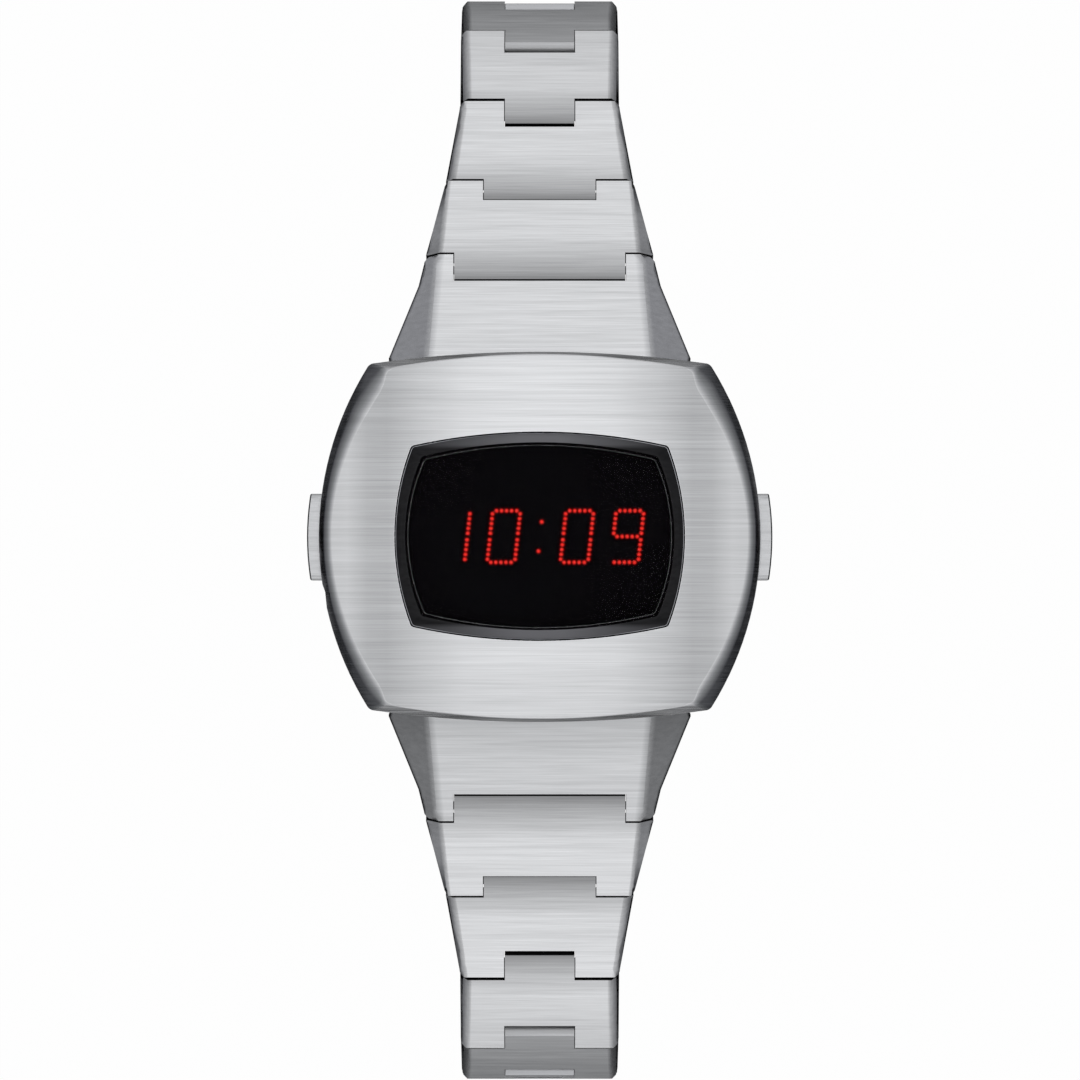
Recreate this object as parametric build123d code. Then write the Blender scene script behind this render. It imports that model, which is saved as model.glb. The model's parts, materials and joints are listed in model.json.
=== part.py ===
from build123d import *
import math
import os

# A cushion-cased wristwatch that shows the time on a board of light dots behind dark glass.
# Its bracelet lies open: both halves leave the case as an arch and hang down, and the
# folding clasp hangs folded shut on the 6 o'clock half.
# The origin is the centre of the case back's outer face. +Z leaves the dial, +Y points to
# 12 o'clock and +X to 3 o'clock. Lengths are millimetres and angles are degrees.

# Fits that many pieces share
running_gap = 0.03          # round a shaft that turns or slides in its bore
moving_gap = 0.12           # between faces of neighbours that move
seat_gap = 0.05             # round a piece that sits in a pocket
overrun = 1.0               # how far a cutter runs past what it cuts

# Case outline at the girdle, its widest level
case_half_width = 20.87
case_half_height = 17.5
case_corner_x = 16.1
case_corner_y = 16.35
case_corner_radius = 0.8

# Case levels and the insets of its front and back outlines from the girdle
back_thickness = 1.1
girdle_height = 7.9         # from the back plate up to the girdle
bevel_height = 3.9          # from the girdle up to the top of the dome
dome_radius = 160.0
front_side_inset = 0.85
front_end_inset = 0.42
front_corner_inset_x = 2.15
front_corner_inset_y = 0.9
rear_side_inset = 2.1
rear_end_inset = 1.7
rear_corner_inset_x = 1.8
rear_corner_inset_y = 1.6
girdle_level = back_thickness + girdle_height
front_level = girdle_level + bevel_height

# Window and crystal
window_half_width = 13.66
window_half_height = 9.83
window_corner_x = 12.08
window_corner_y = 8.5
window_corner_radius = 0.5
crystal_bevel_width = 0.9
crystal_bevel_height = 0.42
crystal_thickness = 1.5
crystal_drop = 0.12         # the flat of the crystal below the dome's top level
crystal_edge_gap = 0.1
ledge_width = 1.25
gasket_thickness = 0.2
gasket_width = 0.9
crystal_top = front_level - crystal_drop
crystal_floor = crystal_top - crystal_thickness
ledge_level = crystal_floor - gasket_thickness

# Cavity of the case and the module in it
cavity_half_x = 14.3
cavity_half_y = 10.5
cavity_corner_radius = 1.2
ledge_thickness = 0.95
module_floor_gap = 0.3      # between the case back's rim and the module
module_wall = 1.1
cavity_top = ledge_level - ledge_thickness

# Display board and its dots
board_thickness = 0.65
dot_size = 0.27
dot_height = 0.1
dot_pitch_x = 0.475
dot_pitch_y = 0.457
dot_row_y = 2.43            # from the middle row to the top row
dot_column_x = 1.3          # from a digit's centre to its column
column_start_y = 0.31       # from the middle row to the first dot of a column
digit_pitch = 4.73
hour_units_x = -3.38
minute_tens_x = 3.52
colon_x = 0.04
colon_y = 1.38
slant = 6.3                 # italic angle of the digits
segment_dots = 5

# Circuit, its parts and the power cells
circuit_thickness = 0.7
circuit_gap = 0.15
chip_size_x = 5.2
chip_size_y = 4.4
chip_height = 0.9
chip_x = -2.5
quartz_radius = 0.75
quartz_length = 6.0
quartz_x = 7.6
trimmer_radius = 1.1
trimmer_height = 0.8
trimmer_x = -9.4
trimmer_slot_width = 0.3
trimmer_slot_depth = 0.3
cell_radius = 5.8
cell_height = 5.4
cell_spacing = 12.4
cell_step = 0.35
cell_cap_inset = 0.8
contact_thickness = 0.2
contact_half_width = 2.2

# Case back and its screws
back_edge_inset = 0.5
back_edge_chamfer = 0.45
back_rim_width = 0.8
back_rim_height = 0.7
screw_x = 13.3
screw_y = 12.6
screw_head_radius = 0.95
screw_head_height = 0.5
screw_shank_radius = 0.5
screw_length = 2.6
screw_slot_width = 0.25
screw_slot_depth = 0.2

# Pushers at 3 and 9 o'clock
pusher_level = 6.0
pusher_half_length = 4.1
pusher_half_height = 1.7
pusher_reach = 22.05        # from the centre plane to the outer face
pusher_corner_radius = 0.5
pusher_crown_radius = 26.0
pusher_travel = 0.8
pusher_stop_gap = 0.15
pusher_side_gap = 0.08
stem_radius = 1.0
clip_radius = 1.6
clip_thickness = 0.3
clip_groove_radius = 0.7
spring_wire_radius = 0.16
spring_coil_radius = 1.45
spring_room_radius = 1.95
spring_turns = 4
seal_groove_slack = 0.04

# What a pusher's head, spring and seal take of the depth from its face to the cavity
pusher_depth = pusher_reach - cavity_half_x
pusher_head_depth = 0.338 * pusher_depth
spring_room_depth = 0.195 * pusher_depth
seal_wire_radius = 0.0416 * pusher_depth

# Bracelet plates: the pin lies between the underside and the face
pin_to_under = 1.15
pin_to_face = 1.35
pin_radius = 0.4
pin_inset = 0.25
crown_radius = 60.0
ear_reach = pin_to_under    # the ears end in a round that runs out at the underside
facet_drop = 0.85
near_corner_radius = 0.25
far_corner_radius = 0.55

# Bracelet half widths at the joints, and the widths of the bevels beside the face
case_joint_half_width = 14.0
joint_1_half_width = 10.92
joint_2_half_width = 9.04
link_half_width = 7.66
end_link_near_facet = 3.45
end_link_far_facet = 1.2
end_link_near_drop = 1.5
link_2_near_facet = 1.55
link_2_far_facet = 0.4
link_3_near_facet = 0.8
link_3_far_facet = 0.6
link_facet = 0.8

# Lengths from pin to pin, and the tongues that reach into the link before
end_link_pitch = 11.05
link_2_pitch = 7.8
link_pitch = 8.6
link_2_tongue_half = 8.15
link_2_tongue_reach = 1.45
link_3_tongue_half = 5.35
link_3_tongue_reach = 0.85
tongue_half = 3.35
tongue_reach = 1.6
tongue_side_gap = 0.08

# Where an end link turns in the case
case_pin_y = 14.9
case_pin_z = 6.4
case_pin_radius = 0.5
case_pin_half_length = 12.3
barrel_radius = 1.7
barrel_half = 11.0
end_link_top = 2.2          # the face above the pin where it meets the case
end_link_under = 1.75
end_link_corner_radius = 0.9
flare_along = 2.2           # where the end link is widest, just outside the case
flare_half_width = 14.35
waist_along = 9.4           # where its sides turn towards link 2
waist_half_width = 11.55
end_link_wall_gap = 0.3     # to the case's wall at the face
end_link_relief = 0.55      # more at the underside, so that the link can curl
lip_gap = 0.3               # under the case's front lip
lug_pocket_depth = 1.45     # from the case end to the wall behind the link
lug_pocket_side_gap = 0.2

# How far each piece slopes down from the dial's plane, from the end link outwards
upper_slopes = [16, 22, 23, 33, 64, 88, 90]
lower_slopes = [16, 22, 22, 35, 65, 88]
clasp_slope = 80

# Folding clasp: three curved blades that lie on each other when shut
clasp_curve_radius = 55.0
clasp_length = 31.0         # along the curve, from the bracelet's pin to the spring bar
clasp_start = 1.95
clasp_end = 1.3             # past the spring bar
blade_thickness = 0.9
blade_gap = 0.12
flange_thickness = 0.8
hinge_pin_radius = 0.4
knuckle_half = 2.2
hinge_end_inset = 0.15
bar_room = 3.2              # from the folding hinge to the spring bar
bar_radius = 0.55
tail_reach = 1.0            # of the link that the spring bar holds
tail_length = 2.4
tail_side_gap = 0.15
clasp_edge_chamfer = 0.4


# Small drawing helpers

def span(x0, x1, y0, y1, z0, z1):
    """A box between two corners."""
    centre = Pos((x0 + x1) / 2, (y0 + y1) / 2, (z0 + z1) / 2)
    return centre * Box(abs(x1 - x0), abs(y1 - y0), abs(z1 - z0))


def patch(s0, n0, s1, n1):
    """A flat rectangle between two corners."""
    return Pos((s0 + s1) / 2, (n0 + n1) / 2) * Rectangle(abs(s1 - s0), abs(n1 - n0))


def across(profile, half):
    """A side profile (along +Y, up +Z) pulled out to both sides of the centre plane."""
    return extrude(Plane.YZ * profile, half, both=True)


def rod(y, z, radius, x0, x1):
    """A round bar along X."""
    return Pos((x0 + x1) / 2, y, z) * Rot(0, 90, 0) * Cylinder(radius, abs(x1 - x0))


def both_sides(shape):
    """A shape and its mirror image in the centre plane."""
    return [shape, shape.mirror(Plane.YZ)]


def cushion(half_width, half_height, corner_x, corner_y, corner_radius, level):
    """A flat cushion outline of four bowed sides at a level."""
    upper_corners = [(corner_x, corner_y), (-corner_x, corner_y)]
    corners = upper_corners + [(-corner_x, -corner_y), (corner_x, -corner_y)]
    bows = [(0, half_height), (-half_width, 0), (0, -half_height), (half_width, 0)]
    sides = Curve() + [
        ThreePointArc(corners[i], bows[i], corners[(i + 1) % 4]) for i in range(4)
    ]
    outline = make_face(sides.edges())
    return Pos(0, 0, level) * fillet(outline.vertices(), corner_radius)


# Case

def case_outline(side_inset, end_inset, corner_inset_x, corner_inset_y, level):
    """The case's outline, drawn in from the girdle."""
    return cushion(
        case_half_width - side_inset,
        case_half_height - end_inset,
        case_corner_x - corner_inset_x,
        case_corner_y - corner_inset_y,
        case_corner_radius,
        level,
    )


def rear_outline(inset, level):
    """The case's outline at the back plate, drawn in by an inset."""
    return case_outline(
        rear_side_inset + inset,
        rear_end_inset + inset,
        rear_corner_inset_x + inset,
        rear_corner_inset_y + inset,
        level,
    )


def window_outline(inset, level):
    """The window's outline, drawn in by an inset."""
    return cushion(
        window_half_width - inset,
        window_half_height - inset,
        window_corner_x - inset,
        window_corner_y - inset,
        window_corner_radius,
        level,
    )


def cavity_block(inset, floor, top):
    """A block that fits the case's cavity, smaller by an inset."""
    outline = RectangleRounded(
        2 * (cavity_half_x - inset), 2 * (cavity_half_y - inset), cavity_corner_radius
    )
    return extrude(Pos(0, 0, floor) * outline, top - floor)


def screw_places():
    """The four corners where the back's screws go in."""
    return [(i * screw_x, j * screw_y) for i in (1, -1) for j in (1, -1)]


def end_link_near():
    """How far out the end link's face begins, and how high, measured from its pin."""
    out = case_half_height - lug_pocket_depth + end_link_wall_gap - case_pin_y
    slope = math.radians(upper_slopes[0])
    along = (out - end_link_top * math.sin(slope)) / math.cos(slope)
    up = end_link_top * math.cos(slope) - along * math.sin(slope)
    return along, up


def lug_pockets():
    """The two spaces at one end of the case that the end link's face and barrel turn in."""
    wall = case_half_height - lug_pocket_depth
    lip = case_pin_z + end_link_near()[1] + lip_gap
    half = case_joint_half_width + lug_pocket_side_gap
    outer = span(-half, half, wall, case_half_height + overrun, back_thickness - overrun, lip)
    room = barrel_radius + moving_gap
    drop = barrel_radius + lug_pocket_depth
    inner = span(
        -barrel_half - moving_gap,
        barrel_half + moving_gap,
        case_pin_y - room,
        wall + overrun,
        case_pin_z - drop,
        case_pin_z + room,
    )
    bore = rod(case_pin_y, case_pin_z, case_pin_radius, -case_pin_half_length, case_pin_half_length)
    return [outer, inner, bore]


def pusher_floor():
    """How far from the centre plane the floor of a pusher's recess lies."""
    return pusher_reach - pusher_head_depth - pusher_travel - pusher_stop_gap


def sideways(x):
    """A plane square to X on the pushers' axis."""
    return Plane(origin=(x, 0, pusher_level), x_dir=(0, 1, 0), z_dir=(1, 0, 0))


def pusher_recess(room):
    """The recess that a pusher's head slides in."""
    profile = RectangleRounded(
        2 * (pusher_half_length + room), 2 * (pusher_half_height + room), pusher_corner_radius + room
    )
    depth = pusher_reach + overrun - pusher_floor()
    return extrude(sideways(pusher_floor()) * profile, depth)


def seal_middle():
    """How far from the centre plane a pusher's seal lies, midway between the cavity and the spring."""
    return (cavity_half_x + pusher_floor() - spring_room_depth) / 2


def pusher_bores():
    """The stem's bore, the spring's room and the seal's groove on the 3 o'clock side."""
    floor = pusher_floor()
    bore = rod(0, pusher_level, stem_radius + running_gap, cavity_half_x - overrun, floor + overrun)
    spring_room = rod(0, pusher_level, spring_room_radius, floor - spring_room_depth, floor + overrun)
    groove_half = seal_wire_radius + seal_groove_slack
    groove = rod(
        0,
        pusher_level,
        stem_radius + running_gap + 2 * seal_wire_radius + seal_groove_slack,
        seal_middle() - groove_half,
        seal_middle() + groove_half,
    )
    return [pusher_recess(pusher_side_gap), bore, spring_room, groove]


def case_body():
    """The steel case, open at the back, with the window, the lugs and the pushers' bores."""
    rear = rear_outline(0, back_thickness)
    girdle = case_outline(0, 0, 0, 0, girdle_level)
    front = case_outline(
        front_side_inset, front_end_inset, front_corner_inset_x, front_corner_inset_y, front_level
    )
    body = loft([rear, girdle], ruled=True) + loft([girdle, front], ruled=True)
    body = body & (Pos(0, 0, front_level - dome_radius) * Sphere(dome_radius))
    body -= cavity_block(0, back_thickness - overrun, cavity_top)
    body -= extrude(window_outline(0, ledge_level), bevel_height + overrun)
    body -= extrude(window_outline(ledge_width, cavity_top - overrun), ledge_thickness + 2 * overrun)
    for cutter in lug_pockets():
        body -= cutter
        body -= cutter.mirror(Plane.XZ)
    for cutter in pusher_bores():
        body -= cutter
        body -= cutter.mirror(Plane.YZ)
    for x, y in screw_places():
        depth = screw_length - (back_thickness - screw_head_height)
        body -= Pos(x, y, back_thickness) * Cylinder(
            screw_shank_radius, depth, align=(Align.CENTER, Align.CENTER, Align.MIN)
        )
    return body


def crystal():
    """Dark glass with a bevelled edge, flat in the middle."""
    shoulder = crystal_top - crystal_bevel_height
    base = extrude(window_outline(crystal_edge_gap, crystal_floor), shoulder - crystal_floor)
    bevel = loft(
        [
            window_outline(crystal_edge_gap, shoulder),
            window_outline(crystal_edge_gap + crystal_bevel_width, crystal_top),
        ],
        ruled=True,
    )
    return base + bevel


def crystal_gasket():
    """The ring between the crystal and its ledge."""
    ring = window_outline(crystal_edge_gap, ledge_level) - window_outline(
        crystal_edge_gap + gasket_width, ledge_level
    )
    return extrude(ring, gasket_thickness)


# Module

def board_floor():
    """The level of the display board's underside, on top of the module frame."""
    return cavity_top - seat_gap


def circuit_floor():
    """The level of the circuit board's underside."""
    tallest = max(chip_height, 2 * quartz_radius, trimmer_height)
    return board_floor() - circuit_gap - tallest - circuit_thickness


def display_board():
    """The ceramic board that carries the dots, inside the window's ledge."""
    outline = window_outline(ledge_width + seat_gap, board_floor())
    return extrude(outline, board_thickness)


def dot(x, y):
    """One light dot on the board, shifted by the slant of its row."""
    lean = y * math.tan(math.radians(slant))
    floor = board_floor() + board_thickness
    base = (Align.CENTER, Align.CENTER, Align.MIN)
    return Pos(x + lean, y, floor) * Box(dot_size, dot_size, dot_height, align=base)


def column(x, side):
    """Half a column of a digit: side 1 is the upper half and -1 the lower."""
    steps = range(segment_dots)
    return [dot(x, side * (column_start_y + i * dot_pitch_y)) for i in steps]


def row(x, y):
    """A row of dots of a digit."""
    first = -(segment_dots - 1) / 2
    return [dot(x + (first + i) * dot_pitch_x, y) for i in range(segment_dots)]


def digit(value, x):
    """The dots of a digit on its seven segments."""
    left = x - dot_column_x
    right = x + dot_column_x
    segments = {
        "top": row(x, dot_row_y),
        "middle": row(x, 0),
        "bottom": row(x, -dot_row_y),
        "upper_left": column(left, 1),
        "upper_right": column(right, 1),
        "lower_left": column(left, -1),
        "lower_right": column(right, -1),
    }
    shapes = {
        0: ["top", "bottom", "upper_left", "upper_right", "lower_left", "lower_right"],
        1: ["upper_right", "lower_right"],
        9: ["top", "middle", "bottom", "upper_left", "upper_right", "lower_right"],
    }
    return [one for name in shapes[value] for one in segments[name]]


def module_frame():
    """The moulded frame that holds the cells, the circuit and the display board."""
    floor = back_thickness + back_rim_height + module_floor_gap
    frame = cavity_block(seat_gap, floor, board_floor())
    frame -= cavity_block(module_wall + seat_gap, circuit_floor(), board_floor() + overrun)
    for side in (1, -1):
        cell_room = Pos(side * cell_spacing / 2, 0, floor - overrun) * Cylinder(
            cell_radius + seat_gap,
            circuit_floor() - floor + 2 * overrun,
            align=(Align.CENTER, Align.CENTER, Align.MIN),
        )
        frame -= cell_room
    frame -= span(
        -cell_spacing / 2, cell_spacing / 2, -contact_half_width - seat_gap, contact_half_width + seat_gap,
        cell_top() - seat_gap, circuit_floor() + overrun,
    )
    room = clip_radius + moving_gap
    deep = cavity_half_x - pusher_travel - 2 * clip_thickness - moving_gap
    for side in (1, -1):
        frame -= span(
            side * deep, side * (cavity_half_x + overrun), -room, room,
            floor - overrun, pusher_level + room,
        )
    return frame


def cell_top():
    """The level of the cells' upper faces, under the contact strip."""
    return circuit_floor() - contact_thickness - seat_gap


def power_cell(side):
    """A coin cell: a can with a smaller cap under it."""
    base = (Align.CENTER, Align.CENTER, Align.MIN)
    can_height = cell_height - cell_step
    can = Pos(0, 0, cell_top() - can_height) * Cylinder(cell_radius, can_height, align=base)
    cap = Cylinder(cell_radius - cell_cap_inset, cell_step, align=base)
    cap = Pos(0, 0, cell_top() - cell_height) * cap
    return Pos(side * cell_spacing / 2, 0, 0) * (can + cap)


def cell_contact():
    """The strip that joins the two cells under the circuit board."""
    half = cell_spacing / 2
    wide = contact_half_width
    return span(-half, half, -wide, wide, cell_top(), cell_top() + contact_thickness)


def circuit_board():
    """The circuit board, resting on the module frame's ledge."""
    inset = module_wall + 2 * seat_gap
    return cavity_block(inset, circuit_floor(), circuit_floor() + circuit_thickness)


def circuit_top():
    """The level of the circuit board's component side."""
    return circuit_floor() + circuit_thickness


def driver_chip():
    """The integrated circuit that drives the dots."""
    base = (Align.CENTER, Align.CENTER, Align.MIN)
    return Pos(chip_x, 0, circuit_top()) * Box(chip_size_x, chip_size_y, chip_height, align=base)


def quartz_can():
    """The quartz crystal's can, flat on its side."""
    lying = Rot(90, 0, 0) * Cylinder(quartz_radius, quartz_length)
    return Pos(quartz_x, 0, circuit_top() + quartz_radius) * lying


def trimmer_capacitor():
    """The trimming capacitor with its screwdriver slot."""
    base = (Align.CENTER, Align.CENTER, Align.MIN)
    body = Pos(trimmer_x, 0, circuit_top()) * Cylinder(trimmer_radius, trimmer_height, align=base)
    top = circuit_top() + trimmer_height
    slot = span(
        trimmer_x - 2 * trimmer_radius, trimmer_x + 2 * trimmer_radius,
        -trimmer_slot_width / 2, trimmer_slot_width / 2,
        top - trimmer_slot_depth, top + overrun,
    )
    return body - slot


# Case back

def case_back():
    """The flat back plate with its raised rim and countersunk screw holes."""
    plate = extrude(rear_outline(back_edge_inset, 0), back_thickness)
    low_edges = plate.edges().group_by(Axis.Z)[0]
    plate = chamfer(low_edges, back_edge_chamfer)
    rim_top = back_thickness + back_rim_height
    rim = cavity_block(seat_gap, back_thickness, rim_top)
    rim -= cavity_block(seat_gap + back_rim_width, back_thickness - overrun, rim_top + overrun)
    plate += rim
    base = (Align.CENTER, Align.CENTER, Align.MIN)
    head_room = Cylinder(screw_head_radius + seat_gap, overrun + screw_head_height, align=base)
    for x, y in screw_places():
        plate -= Pos(x, y, -overrun) * head_room
        plate -= Pos(x, y, 0) * Cylinder(screw_shank_radius, back_thickness + overrun, align=base)
    return plate


def back_screws():
    """The four slotted screws that hold the back."""
    base = (Align.CENTER, Align.CENTER, Align.MIN)
    head = Cylinder(screw_head_radius, screw_head_height, align=base)
    shank = Cylinder(screw_shank_radius, screw_length, align=base)
    slot = span(
        -2 * screw_head_radius, 2 * screw_head_radius,
        -screw_slot_width / 2, screw_slot_width / 2,
        -overrun, screw_slot_depth,
    )
    screw = head + shank - slot
    return [Pos(x, y, 0) * screw for x, y in screw_places()]


# Pushers, drawn on the 3 o'clock side

def pusher_button():
    """The head with its crowned face, and the stem that carries the clip."""
    profile = RectangleRounded(2 * pusher_half_length, 2 * pusher_half_height, pusher_corner_radius)
    root = pusher_reach - pusher_head_depth
    head = extrude(sideways(root) * profile, pusher_head_depth)
    crown = Pos(pusher_reach - pusher_crown_radius, 0, pusher_level) * Cylinder(
        pusher_crown_radius, 2 * pusher_half_height + overrun
    )
    head = head & crown
    tip = cavity_half_x - seat_gap - 2 * clip_thickness
    stem = rod(0, pusher_level, stem_radius, tip, root)
    groove = rod(0, pusher_level, stem_radius + overrun, clip_start(), clip_start() + clip_thickness)
    groove -= rod(
        0, pusher_level, clip_groove_radius, clip_start() - overrun, clip_start() + 2 * overrun
    )
    return head + stem - groove


def clip_start():
    """How far from the centre plane the clip's inner face lies."""
    return cavity_half_x - seat_gap - clip_thickness


def pusher_clip():
    """The ring in the stem's groove that keeps the pusher in."""
    disc = rod(0, pusher_level, clip_radius, clip_start(), clip_start() + clip_thickness)
    bore_start = clip_start() - overrun
    return disc - rod(0, pusher_level, clip_groove_radius, bore_start, clip_start() + overrun)


def pusher_seal():
    """The ring seal in its groove round the stem."""
    middle_radius = stem_radius + running_gap + seal_wire_radius
    return Pos(seal_middle(), 0, pusher_level) * Rot(0, 90, 0) * Torus(middle_radius, seal_wire_radius)


def pusher_spring():
    """The return spring round the stem, between its room's floor and the head."""
    start = pusher_floor() - spring_room_depth + spring_wire_radius
    end = pusher_reach - pusher_head_depth - spring_wire_radius
    length = end - start
    coil = Helix(pitch=length / spring_turns, height=length, radius=spring_coil_radius)
    path = Pos(start, 0, pusher_level) * Rot(0, 90, 0) * coil
    section = Plane(origin=path @ 0, z_dir=path % 0) * Circle(spring_wire_radius)
    return sweep(section, path=path)


# Bracelet links, each drawn with its head pin at the origin, running along +Y

def wedge(half, facet, drop, at):
    """The triangle that a bevel takes off a link's edge, at a place along the link."""
    low = pin_to_face - drop
    return Plane(origin=(0, at, 0), x_dir=(1, 0, 0), z_dir=(0, -1, 0)) * make_face(
        Polyline(
            (half + facet, low - drop),
            (half - 2 * facet, pin_to_face + drop),
            (half + facet, pin_to_face + drop),
            close=True,
        )
    )


def bevels(near, far, near_size, far_size, near_drop, far_drop):
    """Both side bevels, from one place along the link to another."""
    cutter = loft(
        [
            wedge(near_size[0], near_size[1], near_drop, near),
            wedge(far_size[0], far_size[1], far_drop, far),
        ],
        ruled=True,
    )
    return both_sides(cutter)


def plan_block(stations, far_radius):
    """The link's outline seen on its face, as a tall block: (place along, half width) stations."""
    right = [(half, along) for along, half in stations]
    left = [(-half, along) for along, half in reversed(stations)]
    outline = make_face(Polyline(*right, *left, close=True))
    near_corners = outline.vertices().group_by(Axis.Y)[0]
    outline = fillet(near_corners, near_corner_radius)
    far_corners = outline.vertices().group_by(Axis.Y)[-1]
    outline = fillet(far_corners, far_radius)
    return extrude(outline, 4 * (pin_to_face + pin_to_under), both=True)


def ear_profile(pitch):
    """The end of a link round its tail pin: square at the face and round below."""
    top = patch(pitch, 0, pitch + ear_reach, pin_to_face)
    low = patch(pitch, -pin_to_under, pitch + ear_reach, 0) & (Pos(pitch, 0) * Circle(ear_reach))
    return top + low


def tongue_profile(reach, until):
    """A tongue round the head pin: square at the face and round below."""
    top = patch(-reach, 0, until, pin_to_face)
    low = patch(-reach, -pin_to_under, 0, 0) & Circle(reach)
    return top + low + patch(0, -pin_to_under, until, 0)


def crown_disc(near, far):
    """The big circle that gives a link its crown, highest halfway along."""
    return Pos((near + far) / 2, pin_to_face - crown_radius) * Circle(crown_radius)


def recess(pitch, child_half, child_reach):
    """The space between a link's ears for the next piece's tongue."""
    half = child_half + tongue_side_gap
    floor = pitch - child_reach - moving_gap
    tall = pin_to_face + pin_to_under
    return span(-half, half, floor, pitch + ear_reach + overrun, -tall, tall)


def bracelet_link(pitch, near_size, far_size, tongue, child):
    """A link: a bevelled plate with a tongue before it and two ears behind it.

    near_size and far_size are (half width, bevel width); tongue and child are (half width,
    reach past the pin) of its own tongue and of the tongue that goes between its ears.
    """
    shoulder = ear_reach + moving_gap
    end = pitch + ear_reach
    crown = crown_disc(-tongue[1], end)
    side = (patch(shoulder, -pin_to_under, pitch, pin_to_face) + ear_profile(pitch)) & crown
    link = across(side, near_size[0] + overrun)
    link = link & plan_block([(shoulder, near_size[0]), (end, far_size[0])], far_corner_radius)
    for cutter in bevels(shoulder, end, near_size, far_size, facet_drop, facet_drop):
        link -= cutter
    link += across(tongue_profile(tongue[1], pitch / 2) & crown, tongue[0])
    link -= recess(pitch, child[0], child[1])
    link -= rod(0, 0, pin_radius + running_gap, -near_size[0], near_size[0])
    link -= rod(pitch, 0, pin_radius, -far_size[0] + pin_inset, far_size[0] - pin_inset)
    return link


def end_link():
    """The flared link that turns in the case."""
    along = end_link_near()[0]
    end = end_link_pitch + ear_reach
    lean = math.tan(math.radians(upper_slopes[0])) * (end_link_top + end_link_under)
    foot = along + lean + end_link_relief
    plate = make_face(
        Polyline(
            (along, end_link_top),
            (foot, -end_link_under),
            (end_link_pitch, -pin_to_under),
            (end_link_pitch, pin_to_face),
            close=True,
        )
    )
    link = across(plate + ear_profile(end_link_pitch), case_joint_half_width + overrun)
    outline = [
        (along, case_joint_half_width),
        (flare_along, flare_half_width),
        (waist_along, waist_half_width),
        (end, joint_1_half_width),
    ]
    link = link & plan_block(outline, end_link_corner_radius)
    slope = math.degrees(math.atan2(end_link_top - pin_to_face, end_link_pitch - along))
    near_size = (case_joint_half_width, end_link_near_facet)
    far_size = (joint_1_half_width, end_link_far_facet)
    for cutter in bevels(along, end, near_size, far_size, end_link_near_drop, facet_drop):
        tilt = Pos(0, end_link_pitch, pin_to_face) * Rot(-slope, 0, 0)
        tilt = tilt * Pos(0, -end_link_pitch, -pin_to_face)
        link -= tilt * cutter
    neck = patch(0, -barrel_radius, end_link_pitch / 2, pin_to_face) & plate_room(along)
    link += across(neck + Circle(barrel_radius), barrel_half)
    link -= recess(end_link_pitch, link_2_tongue_half, link_2_tongue_reach)
    link -= rod(0, 0, case_pin_radius + running_gap, -case_joint_half_width, case_joint_half_width)
    inner_end = joint_1_half_width - pin_inset
    link -= rod(end_link_pitch, 0, pin_radius, -inner_end, inner_end)
    return link


def plate_room(along):
    """The part of the end link's side where its neck may run."""
    return patch(0, -barrel_radius, end_link_pitch / 2, along + pin_to_face)


def last_upper_link():
    """The link that the clasp's spring bar holds: its tail is narrow and round."""
    shoulder = ear_reach + moving_gap
    body_end = link_pitch - tail_length
    crown = crown_disc(-tongue_reach, body_end)
    side = patch(shoulder, -pin_to_under, body_end, pin_to_face) & crown
    link = across(side, link_half_width + overrun)
    outline = [(shoulder, link_half_width), (body_end, link_half_width)]
    link = link & plan_block(outline, far_corner_radius)
    size = (link_half_width, link_facet)
    for cutter in bevels(shoulder, body_end, size, size, facet_drop, facet_drop):
        link -= cutter
    link += across(tongue_profile(tongue_reach, link_pitch / 2) & crown, tongue_half)
    tail = patch(link_pitch / 2, -tail_reach, link_pitch, tail_reach)
    tail += Pos(link_pitch, 0) * Circle(tail_reach)
    link += across(tail, tail_half())
    link -= rod(0, 0, pin_radius + running_gap, -link_half_width, link_half_width)
    link -= rod(link_pitch, 0, bar_radius + running_gap, -link_half_width, link_half_width)
    return link


def tail_half():
    """Half the width of the tail between the clasp cover's flanges."""
    return link_half_width - flange_thickness - tail_side_gap


def link_pin(pitch, far_half):
    """The pin pressed in a link's ears."""
    end = far_half - pin_inset
    return rod(pitch, 0, pin_radius, -end, end)


def case_spring_bar():
    """The bar that holds an end link in the case."""
    return rod(0, 0, case_pin_radius, -case_pin_half_length, case_pin_half_length)


# Clasp, drawn with its head pin at the origin: along the curve, and out from it

def on_curve(along, out):
    """A point of the clasp's side view, by the length along its curve and the height off it."""
    turn = along / clasp_curve_radius
    reach = clasp_curve_radius + out
    return (reach * math.sin(turn), reach * math.cos(turn) - clasp_curve_radius)


def band(start, end, low, high):
    """A curved strip of the clasp's side view."""
    middle = (start + end) / 2
    outer = ThreePointArc(on_curve(start, high), on_curve(middle, high), on_curve(end, high))
    inner = ThreePointArc(on_curve(start, low), on_curve(middle, low), on_curve(end, low))
    first = Line(on_curve(start, low), on_curve(start, high))
    last = Line(on_curve(end, low), on_curve(end, high))
    return make_face((Curve() + [outer, inner, first, last]).edges())


half_blade = blade_thickness / 2
hinge_height = half_blade + blade_gap / 2
knuckle_radius = blade_thickness + blade_gap / 2
cover_low = half_blade + blade_gap
cover_high = cover_low + blade_thickness
cover_hinge = clasp_start + knuckle_radius
fold_hinge = clasp_length - bar_room
bar_height = cover_low - moving_gap - tail_reach
knuckle_room = knuckle_radius + moving_gap
hinge_half = link_half_width - flange_thickness - hinge_end_inset


def disc(along, out, radius):
    """A circle of the clasp's side view."""
    return Pos(*on_curve(along, out)) * Circle(radius)


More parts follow.
